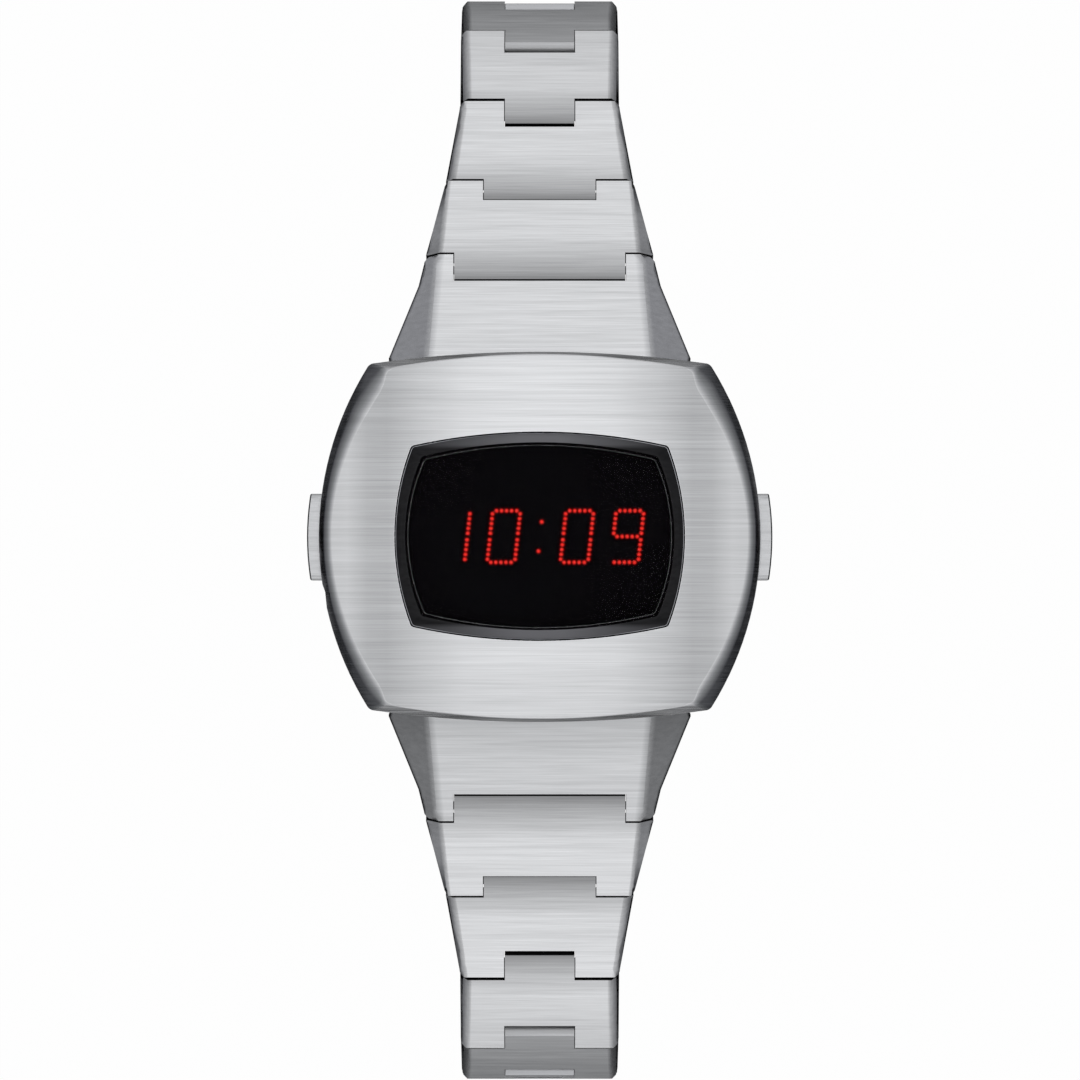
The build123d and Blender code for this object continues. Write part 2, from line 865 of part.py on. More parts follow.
def strips(profile, low, high):
    """A side profile between two distances from the centre plane, on both sides of it."""
    half = across(profile, high) & span(
        low, high, -clasp_length, 2 * clasp_length, -clasp_length, clasp_length
    )
    return both_sides(half)


def pin_bore(along, out, radius):
    """A bore across the clasp."""
    y, z = on_curve(along, out)
    return rod(y, z, radius, -link_half_width - overrun, link_half_width + overrun)


def clasp_inner_blade():
    """The blade next to the wrist, hinged to the bracelet and to the middle blade."""
    low = -cover_high
    high = -cover_low
    plate_end = fold_hinge - knuckle_room
    blade = across(band(clasp_start, plate_end, low, high), hinge_half)
    neck = band(0, clasp_start + knuckle_radius, low, high) + Circle(ear_reach)
    blade += across(neck, tongue_half)
    knuckle = band(plate_end - overrun, fold_hinge, low, high)
    knuckle += disc(fold_hinge, -hinge_height, knuckle_radius)
    blade += across(knuckle, knuckle_half)
    blade -= rod(0, 0, pin_radius + running_gap, -link_half_width, link_half_width)
    blade -= pin_bore(fold_hinge, -hinge_height, hinge_pin_radius)
    return blade


def clasp_middle_blade():
    """The blade between the other two, hinged at both ends."""
    start = cover_hinge + knuckle_room
    end = fold_hinge - knuckle_room
    blade = across(band(start, end, -half_blade, half_blade), hinge_half)
    head = band(cover_hinge, start + overrun, -half_blade, half_blade)
    head += disc(cover_hinge, hinge_height, knuckle_radius)
    blade += across(head, knuckle_half)
    foot = band(end - overrun, fold_hinge, -half_blade, half_blade)
    foot += disc(fold_hinge, -hinge_height, knuckle_radius)
    for piece in strips(foot, knuckle_half + moving_gap, hinge_half):
        blade += piece
    blade -= pin_bore(cover_hinge, hinge_height, hinge_pin_radius + running_gap)
    blade -= pin_bore(fold_hinge, -hinge_height, hinge_pin_radius + running_gap)
    return blade


def clasp_cover():
    """The outer plate with its side flanges, which the spring bar joins to the bracelet."""
    end = clasp_length + clasp_end
    cover = across(band(clasp_start, end, cover_low, cover_high), link_half_width)
    top_edges = cover.edges().filter_by(GeomType.CIRCLE).sort_by(Axis.Z)[-2:]
    cover = chamfer(top_edges, clasp_edge_chamfer)
    inner = link_half_width - flange_thickness
    flange = band(clasp_start, end, -half_blade, cover_low + half_blade)
    lug = band(fold_hinge + knuckle_room, end, bar_height - tail_reach, cover_low + half_blade)
    for piece in strips(flange + lug, inner, link_half_width):
        cover += piece
    cover -= across(
        band(clasp_start - overrun, cover_hinge + knuckle_room, -half_blade, cover_high + overrun),
        knuckle_half + moving_gap,
    )
    cover -= across(disc(cover_hinge, hinge_height, knuckle_room), knuckle_half + moving_gap)
    side = band(cover_hinge, cover_hinge + knuckle_room, cover_low, cover_high)
    side += disc(cover_hinge, hinge_height, knuckle_radius)
    for piece in strips(side, knuckle_half + moving_gap, inner):
        cover += piece
    cover -= pin_bore(cover_hinge, hinge_height, hinge_pin_radius)
    cover -= pin_bore(clasp_length, bar_height, bar_radius)
    return cover


def clasp_pin(along, out, radius, half):
    """A pin or bar across the clasp."""
    y, z = on_curve(along, out)
    return rod(y, z, radius, -half, half)


# Assembly

def hang(half, pins, slopes, index, shape):
    """Places a piece drawn from its head pin on one half of the bracelet."""
    y, z = pins[index]
    placed = Pos(0, y, z) * Rot(-slopes[index], 0, 0) * shape
    return placed if half == "upper" else Rot(0, 0, 180) * placed


def chain_pins(pitches, slopes):
    """The places of the pins along one half, from the case outwards."""
    pins = [(case_pin_y, case_pin_z)]
    for pitch, slope in zip(pitches, slopes):
        y, z = pins[-1]
        turn = math.radians(slope)
        pins.append((y + pitch * math.cos(turn), z - pitch * math.sin(turn)))
    return pins


def link_sizes(count):
    """The pitch, widths and tongues of links 2 onwards."""
    straight = (link_half_width, link_facet)
    plain = (tongue_half, tongue_reach)
    sizes = [
        (link_2_pitch, (joint_1_half_width, link_2_near_facet), (joint_2_half_width, link_2_far_facet),
         (link_2_tongue_half, link_2_tongue_reach)),
        (link_pitch, (joint_2_half_width, link_3_near_facet), (link_half_width, link_3_far_facet),
         (link_3_tongue_half, link_3_tongue_reach)),
    ]
    while len(sizes) < count:
        sizes.append((link_pitch, straight, straight, plain))
    return sizes


def bracelet_half(half, slopes, ends_in_clasp):
    """The nodes of one half: its end link, its links and their pins."""
    sizes = link_sizes(len(slopes) - 1)
    pins = chain_pins([end_link_pitch] + [size[0] for size in sizes], slopes)
    nodes = {}
    nodes[half + "_end_spring_bar"] = hang(half, pins, slopes, 0, case_spring_bar())
    nodes[half + "_end_link"] = hang(half, pins, slopes, 0, end_link())
    pin = link_pin(end_link_pitch, joint_1_half_width)
    nodes[half + "_pin_1"] = hang(half, pins, slopes, 0, pin)
    for index, (pitch, near_size, far_size, tongue) in enumerate(sizes, start=1):
        name = half + "_link_" + str(index + 1)
        last = index == len(sizes)
        if last and not ends_in_clasp:
            nodes[name] = hang(half, pins, slopes, index, last_upper_link())
            continue
        child = (tongue_half, ear_reach) if last else sizes[index][3]
        link = bracelet_link(pitch, near_size, far_size, tongue, child)
        nodes[name] = hang(half, pins, slopes, index, link)
        pin = link_pin(pitch, far_size[0])
        nodes[half + "_pin_" + str(index + 1)] = hang(half, pins, slopes, index, pin)
    return nodes, pins


def clasp_nodes(pins):
    """The clasp's pieces, hung from the last pin of the 6 o'clock half."""
    fold_half = hinge_half - hinge_end_inset
    cover_half = link_half_width - pin_inset
    pieces = {
        "clasp_inner_blade": clasp_inner_blade(),
        "clasp_middle_blade": clasp_middle_blade(),
        "clasp_cover": clasp_cover(),
        "clasp_fold_pin": clasp_pin(fold_hinge, -hinge_height, hinge_pin_radius, fold_half),
        "clasp_cover_pin": clasp_pin(cover_hinge, hinge_height, hinge_pin_radius, cover_half),
        "clasp_spring_bar": clasp_pin(clasp_length, bar_height, bar_radius, cover_half),
    }
    slopes = lower_slopes + [clasp_slope]
    return {name: hang("lower", pins, slopes, len(pins) - 1, piece) for name, piece in pieces.items()}


def pusher_nodes(side):
    """The pieces of the pusher at 3 o'clock (right) or 9 o'clock (left)."""
    pieces = {
        side + "_pusher_button": pusher_button(),
        side + "_pusher_spring": pusher_spring(),
        side + "_pusher_seal": pusher_seal(),
        side + "_pusher_clip": pusher_clip(),
    }
    if side == "right":
        return pieces
    return {name: Rot(0, 0, 180) * piece for name, piece in pieces.items()}


def all_nodes():
    """Every node of the watch by name."""
    colon = [dot(colon_x, side * colon_y) for side in (1, -1)]
    nodes = {
        "case_body": case_body(),
        "crystal": crystal(),
        "crystal_gasket": crystal_gasket(),
        "display_board": display_board(),
        "hour_digits": digit(1, hour_units_x - digit_pitch) + digit(0, hour_units_x),
        "colon_dots": colon,
        "minute_digits": digit(0, minute_tens_x) + digit(9, minute_tens_x + digit_pitch),
        "module_frame": module_frame(),
        "circuit_board": circuit_board(),
        "driver_chip": driver_chip(),
        "quartz_can": quartz_can(),
        "trimmer_capacitor": trimmer_capacitor(),
        "power_cell_left": power_cell(-1),
        "power_cell_right": power_cell(1),
        "cell_contact": cell_contact(),
        "case_back": case_back(),
        "back_screws": back_screws(),
    }
    nodes.update(pusher_nodes("left"))
    nodes.update(pusher_nodes("right"))
    upper, _ = bracelet_half("upper", upper_slopes, False)
    lower, lower_pins = bracelet_half("lower", lower_slopes, True)
    nodes.update(upper)
    nodes.update(lower)
    nodes.update(clasp_nodes(lower_pins))
    return nodes


def main():
    """Writes one STEP file for each node."""
    os.makedirs("parts", exist_ok=True)
    for name, shape in all_nodes().items():
        if isinstance(shape, list):
            solids = [solid for piece in shape for solid in piece.solids()]
        else:
            solids = shape.solids()
        whole = solids[0] if len(solids) == 1 else Compound(children=solids)
        export_step(whole, os.path.join("parts", name + ".step"))


main()
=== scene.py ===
"""Looks of the light-dot watch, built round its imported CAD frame.

Lengths in the dataclass fields are millimetres, as in the CAD source. The meshes that reach Blender
are metres. Every shown piece is made from the solid that the frame gives: its flat faces are joined,
its edges are eased, and its faces are sorted by which way they look, so that each gets the finish
that the real part's face has.
"""

import json
import logging
import math
from dataclasses import dataclass, field
from enum import Enum
from typing import Callable

import bmesh
import bpy
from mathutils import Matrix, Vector

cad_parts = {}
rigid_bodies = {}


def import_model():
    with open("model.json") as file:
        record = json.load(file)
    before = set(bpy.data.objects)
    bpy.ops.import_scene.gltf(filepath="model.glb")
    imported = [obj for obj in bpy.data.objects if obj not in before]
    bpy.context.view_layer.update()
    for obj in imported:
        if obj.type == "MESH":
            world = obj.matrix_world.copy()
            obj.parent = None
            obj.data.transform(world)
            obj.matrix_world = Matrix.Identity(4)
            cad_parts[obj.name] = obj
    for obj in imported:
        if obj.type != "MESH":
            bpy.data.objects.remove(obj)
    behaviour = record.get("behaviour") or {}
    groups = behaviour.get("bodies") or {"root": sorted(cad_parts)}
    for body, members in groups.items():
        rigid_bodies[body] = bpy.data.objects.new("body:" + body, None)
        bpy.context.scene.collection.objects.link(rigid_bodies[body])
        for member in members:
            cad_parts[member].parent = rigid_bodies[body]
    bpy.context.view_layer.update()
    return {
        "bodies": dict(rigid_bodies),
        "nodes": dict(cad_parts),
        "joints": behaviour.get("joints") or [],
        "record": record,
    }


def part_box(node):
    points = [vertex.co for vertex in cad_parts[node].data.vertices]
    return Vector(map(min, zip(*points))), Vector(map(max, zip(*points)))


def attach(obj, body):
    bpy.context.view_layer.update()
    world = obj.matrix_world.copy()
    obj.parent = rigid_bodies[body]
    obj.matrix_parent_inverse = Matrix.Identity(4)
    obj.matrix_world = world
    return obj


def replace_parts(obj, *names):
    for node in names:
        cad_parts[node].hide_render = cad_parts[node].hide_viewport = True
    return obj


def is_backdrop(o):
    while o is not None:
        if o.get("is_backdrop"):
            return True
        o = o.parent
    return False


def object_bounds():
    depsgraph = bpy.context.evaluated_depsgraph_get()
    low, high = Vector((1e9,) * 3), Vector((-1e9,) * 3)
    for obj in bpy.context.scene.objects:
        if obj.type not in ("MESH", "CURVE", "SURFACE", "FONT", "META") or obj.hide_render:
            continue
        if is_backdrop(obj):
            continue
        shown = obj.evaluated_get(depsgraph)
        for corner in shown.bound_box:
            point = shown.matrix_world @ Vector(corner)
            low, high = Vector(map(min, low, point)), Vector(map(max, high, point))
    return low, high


LOG = logging.getLogger("led_watch")
MM = 0.001                      # metres in a millimetre
WELD = 0.0005                   # points nearer to each other than this are one, in millimetres
BUMP_HEIGHT = 0.02              # how deep a finish's relief is at strength 1, in millimetres

# Vertex attributes
REACH = "reach"                 # millimetres from a link's case-side end, where its painted shade lies
FACET = "facet"                 # 0 on a link's top, 1 on the facets beside it, which get the painted facet shade
FADE = "fade"                   # 1 in the middle of a lit dot, 0 at its rim

# A Mix node's colour sockets, which share their names with others
MIX_A, MIX_B, MIXED = 6, 7, 2
# Between which of a noise's values the roughness, a line's tone and a patch's tone change
NOISE_RANGE = (0.3, 0.7)
LINE_RANGE = (0.25, 0.75)
PATCH_RANGE = (0.35, 0.65)
IOR = 1.5                       # of glass, glaze, lacquer, rubber and moulded plastic
QUARTER_TURN = 0.25             # sets a highlight's stretch square to the lines

Colour = tuple[float, ...]
Socket = bpy.types.NodeSocket
Tree = bpy.types.NodeTree
Mesh = bmesh.types.BMesh
Face = bmesh.types.BMFace
Edge = bmesh.types.BMEdge
Vert = bmesh.types.BMVert
Inputs = dict[str | int, object] | tuple[object, ...]
FaceTest = Callable[[Vector, Vector], bool]
EdgeTest = Callable[[Edge], bool]


def linear(code: str) -> Colour:
    """Turns an sRGB hex colour to the linear colour that Blender's sockets take.

    Args:
        code: six hex digits after a #.

    Returns:
        Red, green, blue and an alpha of 1.
    """
    channels = [int(code[i : i + 2], 16) / 255 for i in (1, 3, 5)]
    r, g, b = [c / 12.92 if c <= 0.04045 else ((c + 0.055) / 1.055) ** 2.4 for c in channels]
    return (r, g, b, 1.0)


def add_node(tree: Tree, kind: str, inputs: Inputs = (), **settings: object) -> bpy.types.Node:
    """Adds one shader node.

    Args:
        tree: the node tree that gets the node.
        kind: the node's type name, without "ShaderNode".
        inputs: a constant, or a socket to join, for each input: in order, or by name or index.
        settings: attributes of the node itself, such as its operation.

    Returns:
        The new node.
    """
    node = tree.nodes.new("ShaderNode" + kind)
    for name, value in settings.items():
        setattr(node, name, value)
    for name, value in inputs.items() if isinstance(inputs, dict) else enumerate(inputs):
        if isinstance(value, Socket):
            tree.links.new(value, node.inputs[name])
        else:
            node.inputs[name].default_value = value
    return node


def stretched_noise(
    tree: Tree, sizes: tuple[float, float, float], detail: float = 2.0, shift: float = 0.0
) -> Socket:
    """Noise in the piece's own coordinates, with cells of the given size.

    Args:
        tree: the material's tree.
        sizes: the cell's length in X, Y and Z, in millimetres.
        detail: octaves of finer noise on top.
        shift: moves the pattern, so that two layers differ.

    Returns:
        The noise's value socket, from 0 to 1.
    """
    place = add_node(tree, "TexCoord").outputs["Object"]
    scale = [1 / (MM * size) for size in sizes]
    mapped = add_node(tree, "Mapping", {"Vector": place, "Location": (shift,) * 3, "Scale": scale})
    noise = {"Vector": mapped.outputs["Vector"], "Scale": 1.0, "Detail": detail, "Roughness": 0.6}
    return add_node(tree, "TexNoise", noise).outputs["Fac"]


def seen_directly(tree: Tree) -> Socket:
    """Tells the rays that see the white background: camera, glossy and transmission rays.

    Args:
        tree: the tree of a material or of the world.

    Returns:
        A socket that is 1 for such a ray.
    """
    rays = add_node(tree, "LightPath").outputs
    first = (rays["Is Camera Ray"], rays["Is Glossy Ray"])
    seen = add_node(tree, "Math", first, operation="MAXIMUM").outputs[0]
    return add_node(tree, "Math", (seen, rays["Is Transmission Ray"]), operation="MAXIMUM").outputs[0]


class Grain(Enum):
    """Which way the lines of a brushed face run, as a direction of the watch."""

    ACROSS = (1.0, 0.0, 0.0)    # from 9 to 3 o'clock
    ALONG = (0.0, 0.6, 0.8)     # along the bracelet, up and down the sides
    NONE = (0.0, 0.0, 0.0)      # no lines: blasted, turned, moulded or polished


@dataclass(frozen=True)
class Finish:
    """One finish of the watch, named for its material and for how its surface was made."""

    name: str

    def surface(self, tree: Tree) -> Socket:
        """Adds the finish's own nodes to a tree and gives its shader."""
        raise NotImplementedError

    def build(self) -> bpy.types.Material:
        """Makes the node material.

        Returns:
            The material, with the finish's shader joined to its output.
        """
        material = bpy.data.materials.new(self.name)
        material.use_nodes = True
        material.node_tree.nodes.clear()
        add_node(material.node_tree, "OutputMaterial", {"Surface": self.surface(material.node_tree)})
        return material


@dataclass(frozen=True)
class Steel(Finish):
    """Stainless steel, solid and bare, so its colour is that of its reflections.

    The grain is a brush's lines: long, parallel, a tenth of a millimetre apart as far as the eye
    resolves them. They spread a highlight square to themselves, and catch light one by one. Painted
    shade darkens the sides the more they lean over, and paints a link's case-side end darker where it
    runs under its neighbour.
    """

    tone: str
    grain: Grain = Grain.ACROSS
    contrast: float = 0.16
    line_length: float = 9.0
    line_width: float = 0.055
    line_depth: float = 0.0         # of the lines into the metal; 0 makes it their width
    roughness: tuple[float, float] = (0.28, 0.4)
    depth: float = 0.16
    spread_across: float = 0.7      # how much the lines stretch a highlight
    painted_shading_by_lean: tuple[tuple[float, str], ...] = ()     # painted shade and highlight by how far the surface leans sideways
    # Painted shade at a link's case-side end, where it runs under its neighbour
    painted_end_shade: float = 1.0           # the share of the tone left at a link's case-side end
    end_reach: float = 3.0          # how far from that end the tone is full again
    end_power: float = 0.7          # under 1, the tone rises fastest at the end itself
    painted_facet_shade: str = ""            # the painted shade of a link's facets, into which its top's tone runs
    rim_lean: float = 0.68          # from this lean on, the facets' outer edges are painted dark as an outline
    side_lean: float = 0.95         # and at this lean they are at their darkest
    painted_rim_share: float = 0.06          # the share of the tone that is left there

    def sizes(self, lengths: float, widths: float) -> tuple[float, float, float]:
        """The cell of this grain's noise.

        Args:
            lengths: how many times a line's length it spans.
            widths: how many times a line's width.

        Returns:
            Its lengths in X, Y and Z, in millimetres.
        """
        length, width = lengths * self.line_length, widths * self.line_width
        if self.grain is Grain.ACROSS:
            return (length, width, self.line_depth or width)
        return (width, length if self.grain is Grain.ALONG else width, width)

    def lean(self, tree: Tree) -> Socket:
        """How far the surface leans towards 3 or 9 o'clock.

        Args:
            tree: the material's tree.

        Returns:
            A socket that is 0 where it is level and 1 where it is upright.
        """
        normal = add_node(tree, "NewGeometry").outputs["Normal"]
        across = add_node(tree, "SeparateXYZ", (normal,)).outputs["X"]
        return add_node(tree, "Math", (across,), operation="ABSOLUTE").outputs[0]

    def toned(self, tree: Tree) -> Colour | Socket:
        """The steel's tone, with painted shade over a link's facets or where the surface leans over.

        Args:
            tree: the material's tree.

        Returns:
            One colour, or the socket of a colour that changes.
        """
        if self.painted_facet_shade:
            place = add_node(tree, "Attribute", attribute_name=FACET).outputs["Fac"]
            stops = ((0.0, self.tone), (0.12, self.tone), (0.88, self.painted_facet_shade))
        elif self.painted_shading_by_lean:
            place, stops = self.lean(tree), ((0.0, self.tone), *self.painted_shading_by_lean)
        else:
            return linear(self.tone)[:3]
        ramp = add_node(tree, "ValToRGB", (place,))
        row = ramp.color_ramp.elements
        for position, _ in stops[2:]:
            row.new(position)
        for element, (position, code) in zip(row, stops):
            element.position, element.color = position, linear(code)
        return ramp.outputs["Color"]

    def shares(self, tree: Tree, fine: Socket) -> list[Socket]:
        """What the tone is multiplied by, one after another, in each place of the surface.

        Args:
            tree: the material's tree.
            fine: the noise of the lines.

        Returns:
            The sockets of the shares.
        """
        broad = stretched_noise(tree, self.sizes(3, 7), shift=7.3)
        lines = (*LINE_RANGE, 1 - self.contrast, 1 + self.contrast)
        bands = (1 - self.contrast / 2, 1 + self.contrast / 2)
        ranges = [(fine, *lines), (broad, *NOISE_RANGE, *bands)]
        # Painted shade: darker towards a link's case-side end
        if self.painted_end_shade < 1.0:
            reach = add_node(tree, "Attribute", attribute_name=REACH).outputs["Fac"]
            near = add_node(tree, "MapRange", (reach, 0.0, self.end_reach, 0.0, 1.0)).outputs[0]
            rise = add_node(tree, "Math", (near, self.end_power), operation="POWER").outputs[0]
            ranges.append((rise, 0.0, 1.0, self.painted_end_shade, 1.0))
        # Painted shade: the facets' outer edges turn dark as they lean over, drawing a dark outline
        if self.painted_facet_shade:
            ranges.append((self.lean(tree), self.rim_lean, self.side_lean, 1.0, self.painted_rim_share))
        return [add_node(tree, "MapRange", values).outputs[0] for values in ranges]

    def surface(self, tree: Tree) -> Socket:
        """Adds the steel's nodes to a tree.

        Args:
            tree: the material's tree.

        Returns:
            The shader's socket.
        """
        fine = stretched_noise(tree, self.sizes(1, 1))
        colour = self.toned(tree)
        for share in self.shares(tree, fine):
            inputs = {0: colour, "Scale": share}
            colour = add_node(tree, "VectorMath", inputs, operation="SCALE").outputs[0]
        relief = {"Strength": self.depth, "Distance": BUMP_HEIGHT * MM, "Height": fine}
        inputs = {
            "Base Color": colour,
            "Metallic": 1.0,
            "Roughness": add_node(tree, "MapRange", (fine, *NOISE_RANGE, *self.roughness)).outputs[0],
            "Normal": add_node(tree, "Bump", relief).outputs["Normal"],
            "Specular Tint": linear("#000000"),
        }
        if self.grain is not Grain.NONE:
            inputs["Anisotropic"] = self.spread_across
            inputs["Anisotropic Rotation"] = QUARTER_TURN
            inputs["Tangent"] = add_node(tree, "CombineXYZ", self.grain.value).outputs["Vector"]
        return add_node(tree, "BsdfPrincipled", inputs).outputs[0]


@dataclass(frozen=True)
class Solid(Finish):
    """A non-metal or plated surface: moulded, glazed, laminated or plated.

    Its two tones are the uneven colour that such a surface shows close up, and its bump is the
    mould's grain, the weave or the cast.
    """

    dark: str
    light: str
    cell: float = 0.2
    roughness: tuple[float, float] = (0.4, 0.55)
    depth: float = 0.15
    metallic: float = 0.0
    coat: float = 0.0
    specular: float = 0.5

    def surface(self, tree: Tree) -> Socket:
        """Adds the surface's nodes to a tree.

        Args:
            tree: the material's tree.

        Returns:
            The shader's socket.
        """
        grain = stretched_noise(tree, (self.cell,) * 3, 4.0)
        cloud = stretched_noise(tree, (12 * self.cell,) * 3, shift=3.1)
        share = add_node(tree, "MapRange", (cloud, *PATCH_RANGE, 0.0, 1.0)).outputs[0]
        tones = {"Factor": share, MIX_A: linear(self.dark), MIX_B: linear(self.light)}
        relief = {"Strength": self.depth, "Distance": BUMP_HEIGHT * MM, "Height": grain}
        inputs = {
            "Base Color": add_node(tree, "Mix", tones, data_type="RGBA").outputs[MIXED],
            "Metallic": self.metallic,
            "Roughness": add_node(tree, "MapRange", (grain, *NOISE_RANGE, *self.roughness)).outputs[0],
            "Normal": add_node(tree, "Bump", relief).outputs["Normal"],
            "Coat Weight": self.coat,
        }
        if not self.metallic:
            inputs |= {"IOR": IOR, "Specular IOR Level": self.specular}
        return add_node(tree, "BsdfPrincipled", inputs).outputs[0]


@dataclass(frozen=True)
class TintedGlass(Finish):
    """Mineral glass, dyed dark red-black and polished, with an anti-glare coating.

    The eye sees the lit dots through it and almost nothing else: the dye takes half the light on
    each pass, and the coating leaves a few thousandths of the room's reflection.
    """

    name: str = "tinted_mineral_glass"
    dye: str = "#070509"
    dark_share: float = 0.3
    smear_cell: float = 3.0
    roughness: tuple[float, float] = (0.04, 0.08)
    specular: float = 0.02          # what the coating leaves

    def surface(self, tree: Tree) -> Socket:
        """Adds the glass's nodes to a tree.

        Args:
            tree: the material's tree.

        Returns:
            The shader's socket.
        """
        smear = stretched_noise(tree, (self.smear_cell,) * 3)
        inputs = {
            "Base Color": linear(self.dye),
            "Roughness": add_node(tree, "MapRange", (smear, *NOISE_RANGE, *self.roughness)).outputs[0],
            "IOR": IOR,
            "Specular IOR Level": self.specular,
            "Alpha": self.dark_share,
        }
        return add_node(tree, "BsdfPrincipled", inputs).outputs[0]


@dataclass(frozen=True)
class PaintedReflectionBevel(Finish):
    """The ground and polished bevel round the crystal, backed by its dark dye.

    Its tones are a painted reflection: the 12 and 6 o'clock sides are painted light in their middle
    and fall off towards the corners, and the 3 and 9 o'clock sides are painted dark.
    """

    name: str = "ground_glass_bevel_painted_reflection"
    # Painted reflection: the lit middle, the corners and the dark sides; polish tones the grinding marks
    middle: str = "#6C6C6F"
    corner: str = "#202022"
    side: str = "#141416"
    polish: str = "#8A8A8E"
    fall_start: float = 2.0         # from here outwards the painted reflection falls off
    half_width: float = 12.5        # and here it is gone
    side_start: float = 8.6         # as far out as this, up or down, a point lies on a side with the painted light
    side_blend: float = 0.4
    grind_cell: tuple[float, float, float] = (2.0, 0.4, 0.4)
    grind_range: tuple[float, float] = (0.3, 0.8)
    grind_share: float = 0.03       # how much of the polish's tone the grinding marks take
    roughness: tuple[float, float] = (0.12, 0.2)
    specular: float = 0.07

    def surface(self, tree: Tree) -> Socket:
        """Adds the bevel's nodes to a tree.

        Args:
            tree: the material's tree.

        Returns:
            The shader's socket.
        """
        axes = add_node(tree, "SeparateXYZ", (add_node(tree, "TexCoord").outputs["Object"],)).outputs
        across, up = [add_node(tree, "Math", (axes[i],), operation="ABSOLUTE").outputs[0] for i in (0, 1)]
        grind = stretched_noise(tree, self.grind_cell)
        fall = (across, self.fall_start * MM, self.half_width * MM, 0.0, 1.0)
        start = (self.side_start - self.side_blend) * MM
        colour = linear(self.middle)
        for values, other, swapped in (
            (fall, self.corner, False),
            ((up, start, self.side_start * MM, 0.0, 1.0), self.side, True),
            ((grind, *self.grind_range, 0.0, self.grind_share), self.polish, False),
        ):
            share = add_node(tree, "MapRange", values).outputs[0]
            first, second = (linear(other), colour) if swapped else (colour, linear(other))
            mix = add_node(tree, "Mix", {"Factor": share, MIX_A: first, MIX_B: second}, data_type="RGBA")
            colour = mix.outputs[MIXED]
        inputs = {
            "Base Color": colour,
            "Roughness": add_node(tree, "MapRange", (grind, *NOISE_RANGE, *self.roughness)).outputs[0],
            "IOR": IOR,
            "Specular IOR Level": self.specular,
        }
        return add_node(tree, "BsdfPrincipled", inputs).outputs[0]


@dataclass(frozen=True)
class LitDiode(Finish):
    """A red light-emitting diode at work: brightest in its middle, deeper red at its rim."""

    name: str = "lit_red_diode"
    core: str = "#FF3A30"
    rim: str = "#8C0E0A"
    body: str = "#701010"
    power: float = 1.35
    core_share: float = 0.75        # at this share of the way to its middle it is at its brightest

    def surface(self, tree: Tree) -> Socket:
        """Adds the diode's nodes to a tree.

        Args:
            tree: the material's tree.

        Returns:
            The shader's socket.
        """
        fade = add_node(tree, "Attribute", attribute_name=FADE).outputs["Fac"]
        share = add_node(tree, "MapRange", (fade, 0.0, self.core_share, 0.0, 1.0)).outputs[0]
        tones = {"Factor": share, MIX_A: linear(self.rim), MIX_B: linear(self.core)}
        inputs = {
            "Base Color": linear(self.body),
            "Roughness": 0.3,
            "Specular IOR Level": 0.1,
            "Emission Color": add_node(tree, "Mix", tones, data_type="RGBA").outputs[MIXED],
            "Emission Strength": self.power,
        }
        return add_node(tree, "BsdfPrincipled", inputs).outputs[0]


@dataclass(frozen=True)
class Halo(Finish):
    """The soft red light that a lit dot throws round itself in the glass and on the board."""

    name: str = "dot_halo"
    colour: str = "#E01C14"
    strength: float = 0.75
    fall: float = 2.0               # the power by which it fades outwards

    def surface(self, tree: Tree) -> Socket:
        """Adds the glow's nodes to a tree.

        Args:
            tree: the material's tree.

        Returns:
            The shader's socket.
        """
        fade = add_node(tree, "Attribute", attribute_name=FADE).outputs["Fac"]
        soft = add_node(tree, "Math", (fade, self.fall), operation="POWER").outputs[0]
        power = add_node(tree, "Math", (soft, self.strength), operation="MULTIPLY").outputs[0]
        glow = add_node(tree, "Emission", {"Color": linear(self.colour), "Strength": power}).outputs[0]
        clear = add_node(tree, "BsdfTransparent").outputs[0]
        return add_node(tree, "AddShader", (glow, clear)).outputs[0]


@dataclass(frozen=True)
class WhitePaper(Finish):
    """The studio's paper: white to look at, and a little darker where the watch shades it."""

    name: str = "white_paper_floor"
    tone: str = "#F4F4F4"
    white_share: float = 0.97

    def surface(self, tree: Tree) -> Socket:
        """Adds the paper's nodes to a tree.

        Args:
            tree: the material's tree.

        Returns:
            The shader's socket.
        """
        paper = add_node(tree, "BsdfDiffuse", {"Color": linear(self.tone)}).outputs[0]
        white = add_node(tree, "Emission", {"Color": linear("#FFFFFF"), "Strength": 1.0}).outputs[0]
        factors = (seen_directly(tree), self.white_share)
        share = add_node(tree, "Math", factors, operation="MULTIPLY").outputs[0]
        return add_node(tree, "MixShader", (share, paper, white)).outputs[0]


# Stainless steel under a brush drawn from 9 to 3 o'clock: bright and lined, and with painted shade
# and highlight by how far it rolls over
CASE_FRONT = Steel(
    "brushed_steel_case_front",
    "#B8B9BB",
    line_depth=6.0,
    painted_shading_by_lean=(
        (0.045, "#B8B9BB"),
        (0.07, "#AEAFB1"),
        (0.09, "#A0A1A3"),
        (0.101, "#A3A4A6"),
        (0.113, "#B5B6B8"),
        (0.128, "#B2B3B5"),
        (0.3, "#8E8F92"),
        (0.45, "#787A7C"),
        (0.65, "#626366"),
        (0.88, "#5C5D60"),
        (0.95, "#727376"),
        (0.985, "#7E7F82"),
    ),
)
CASE_REAR = Steel(
    "brushed_steel_case_rear", "#8B8C90", Grain.ALONG, line_length=6.0, roughness=(0.3, 0.45)
)
BACK_PLATE = Steel("brushed_steel_back_plate", "#A5A6A9", line_length=8.0)
# Painted shade: the pusher darkens as its surface leans over, lighter again where it stands upright
PUSHER_STEEL = Steel(
    "brushed_steel_pusher",
    "#A6A7A9",
    line_length=2.0,
    painted_shading_by_lean=((0.1, "#A6A7A9"), (0.5, "#6C6D70"), (0.9, "#47484B"), (0.97, "#9A9B9E")),
)
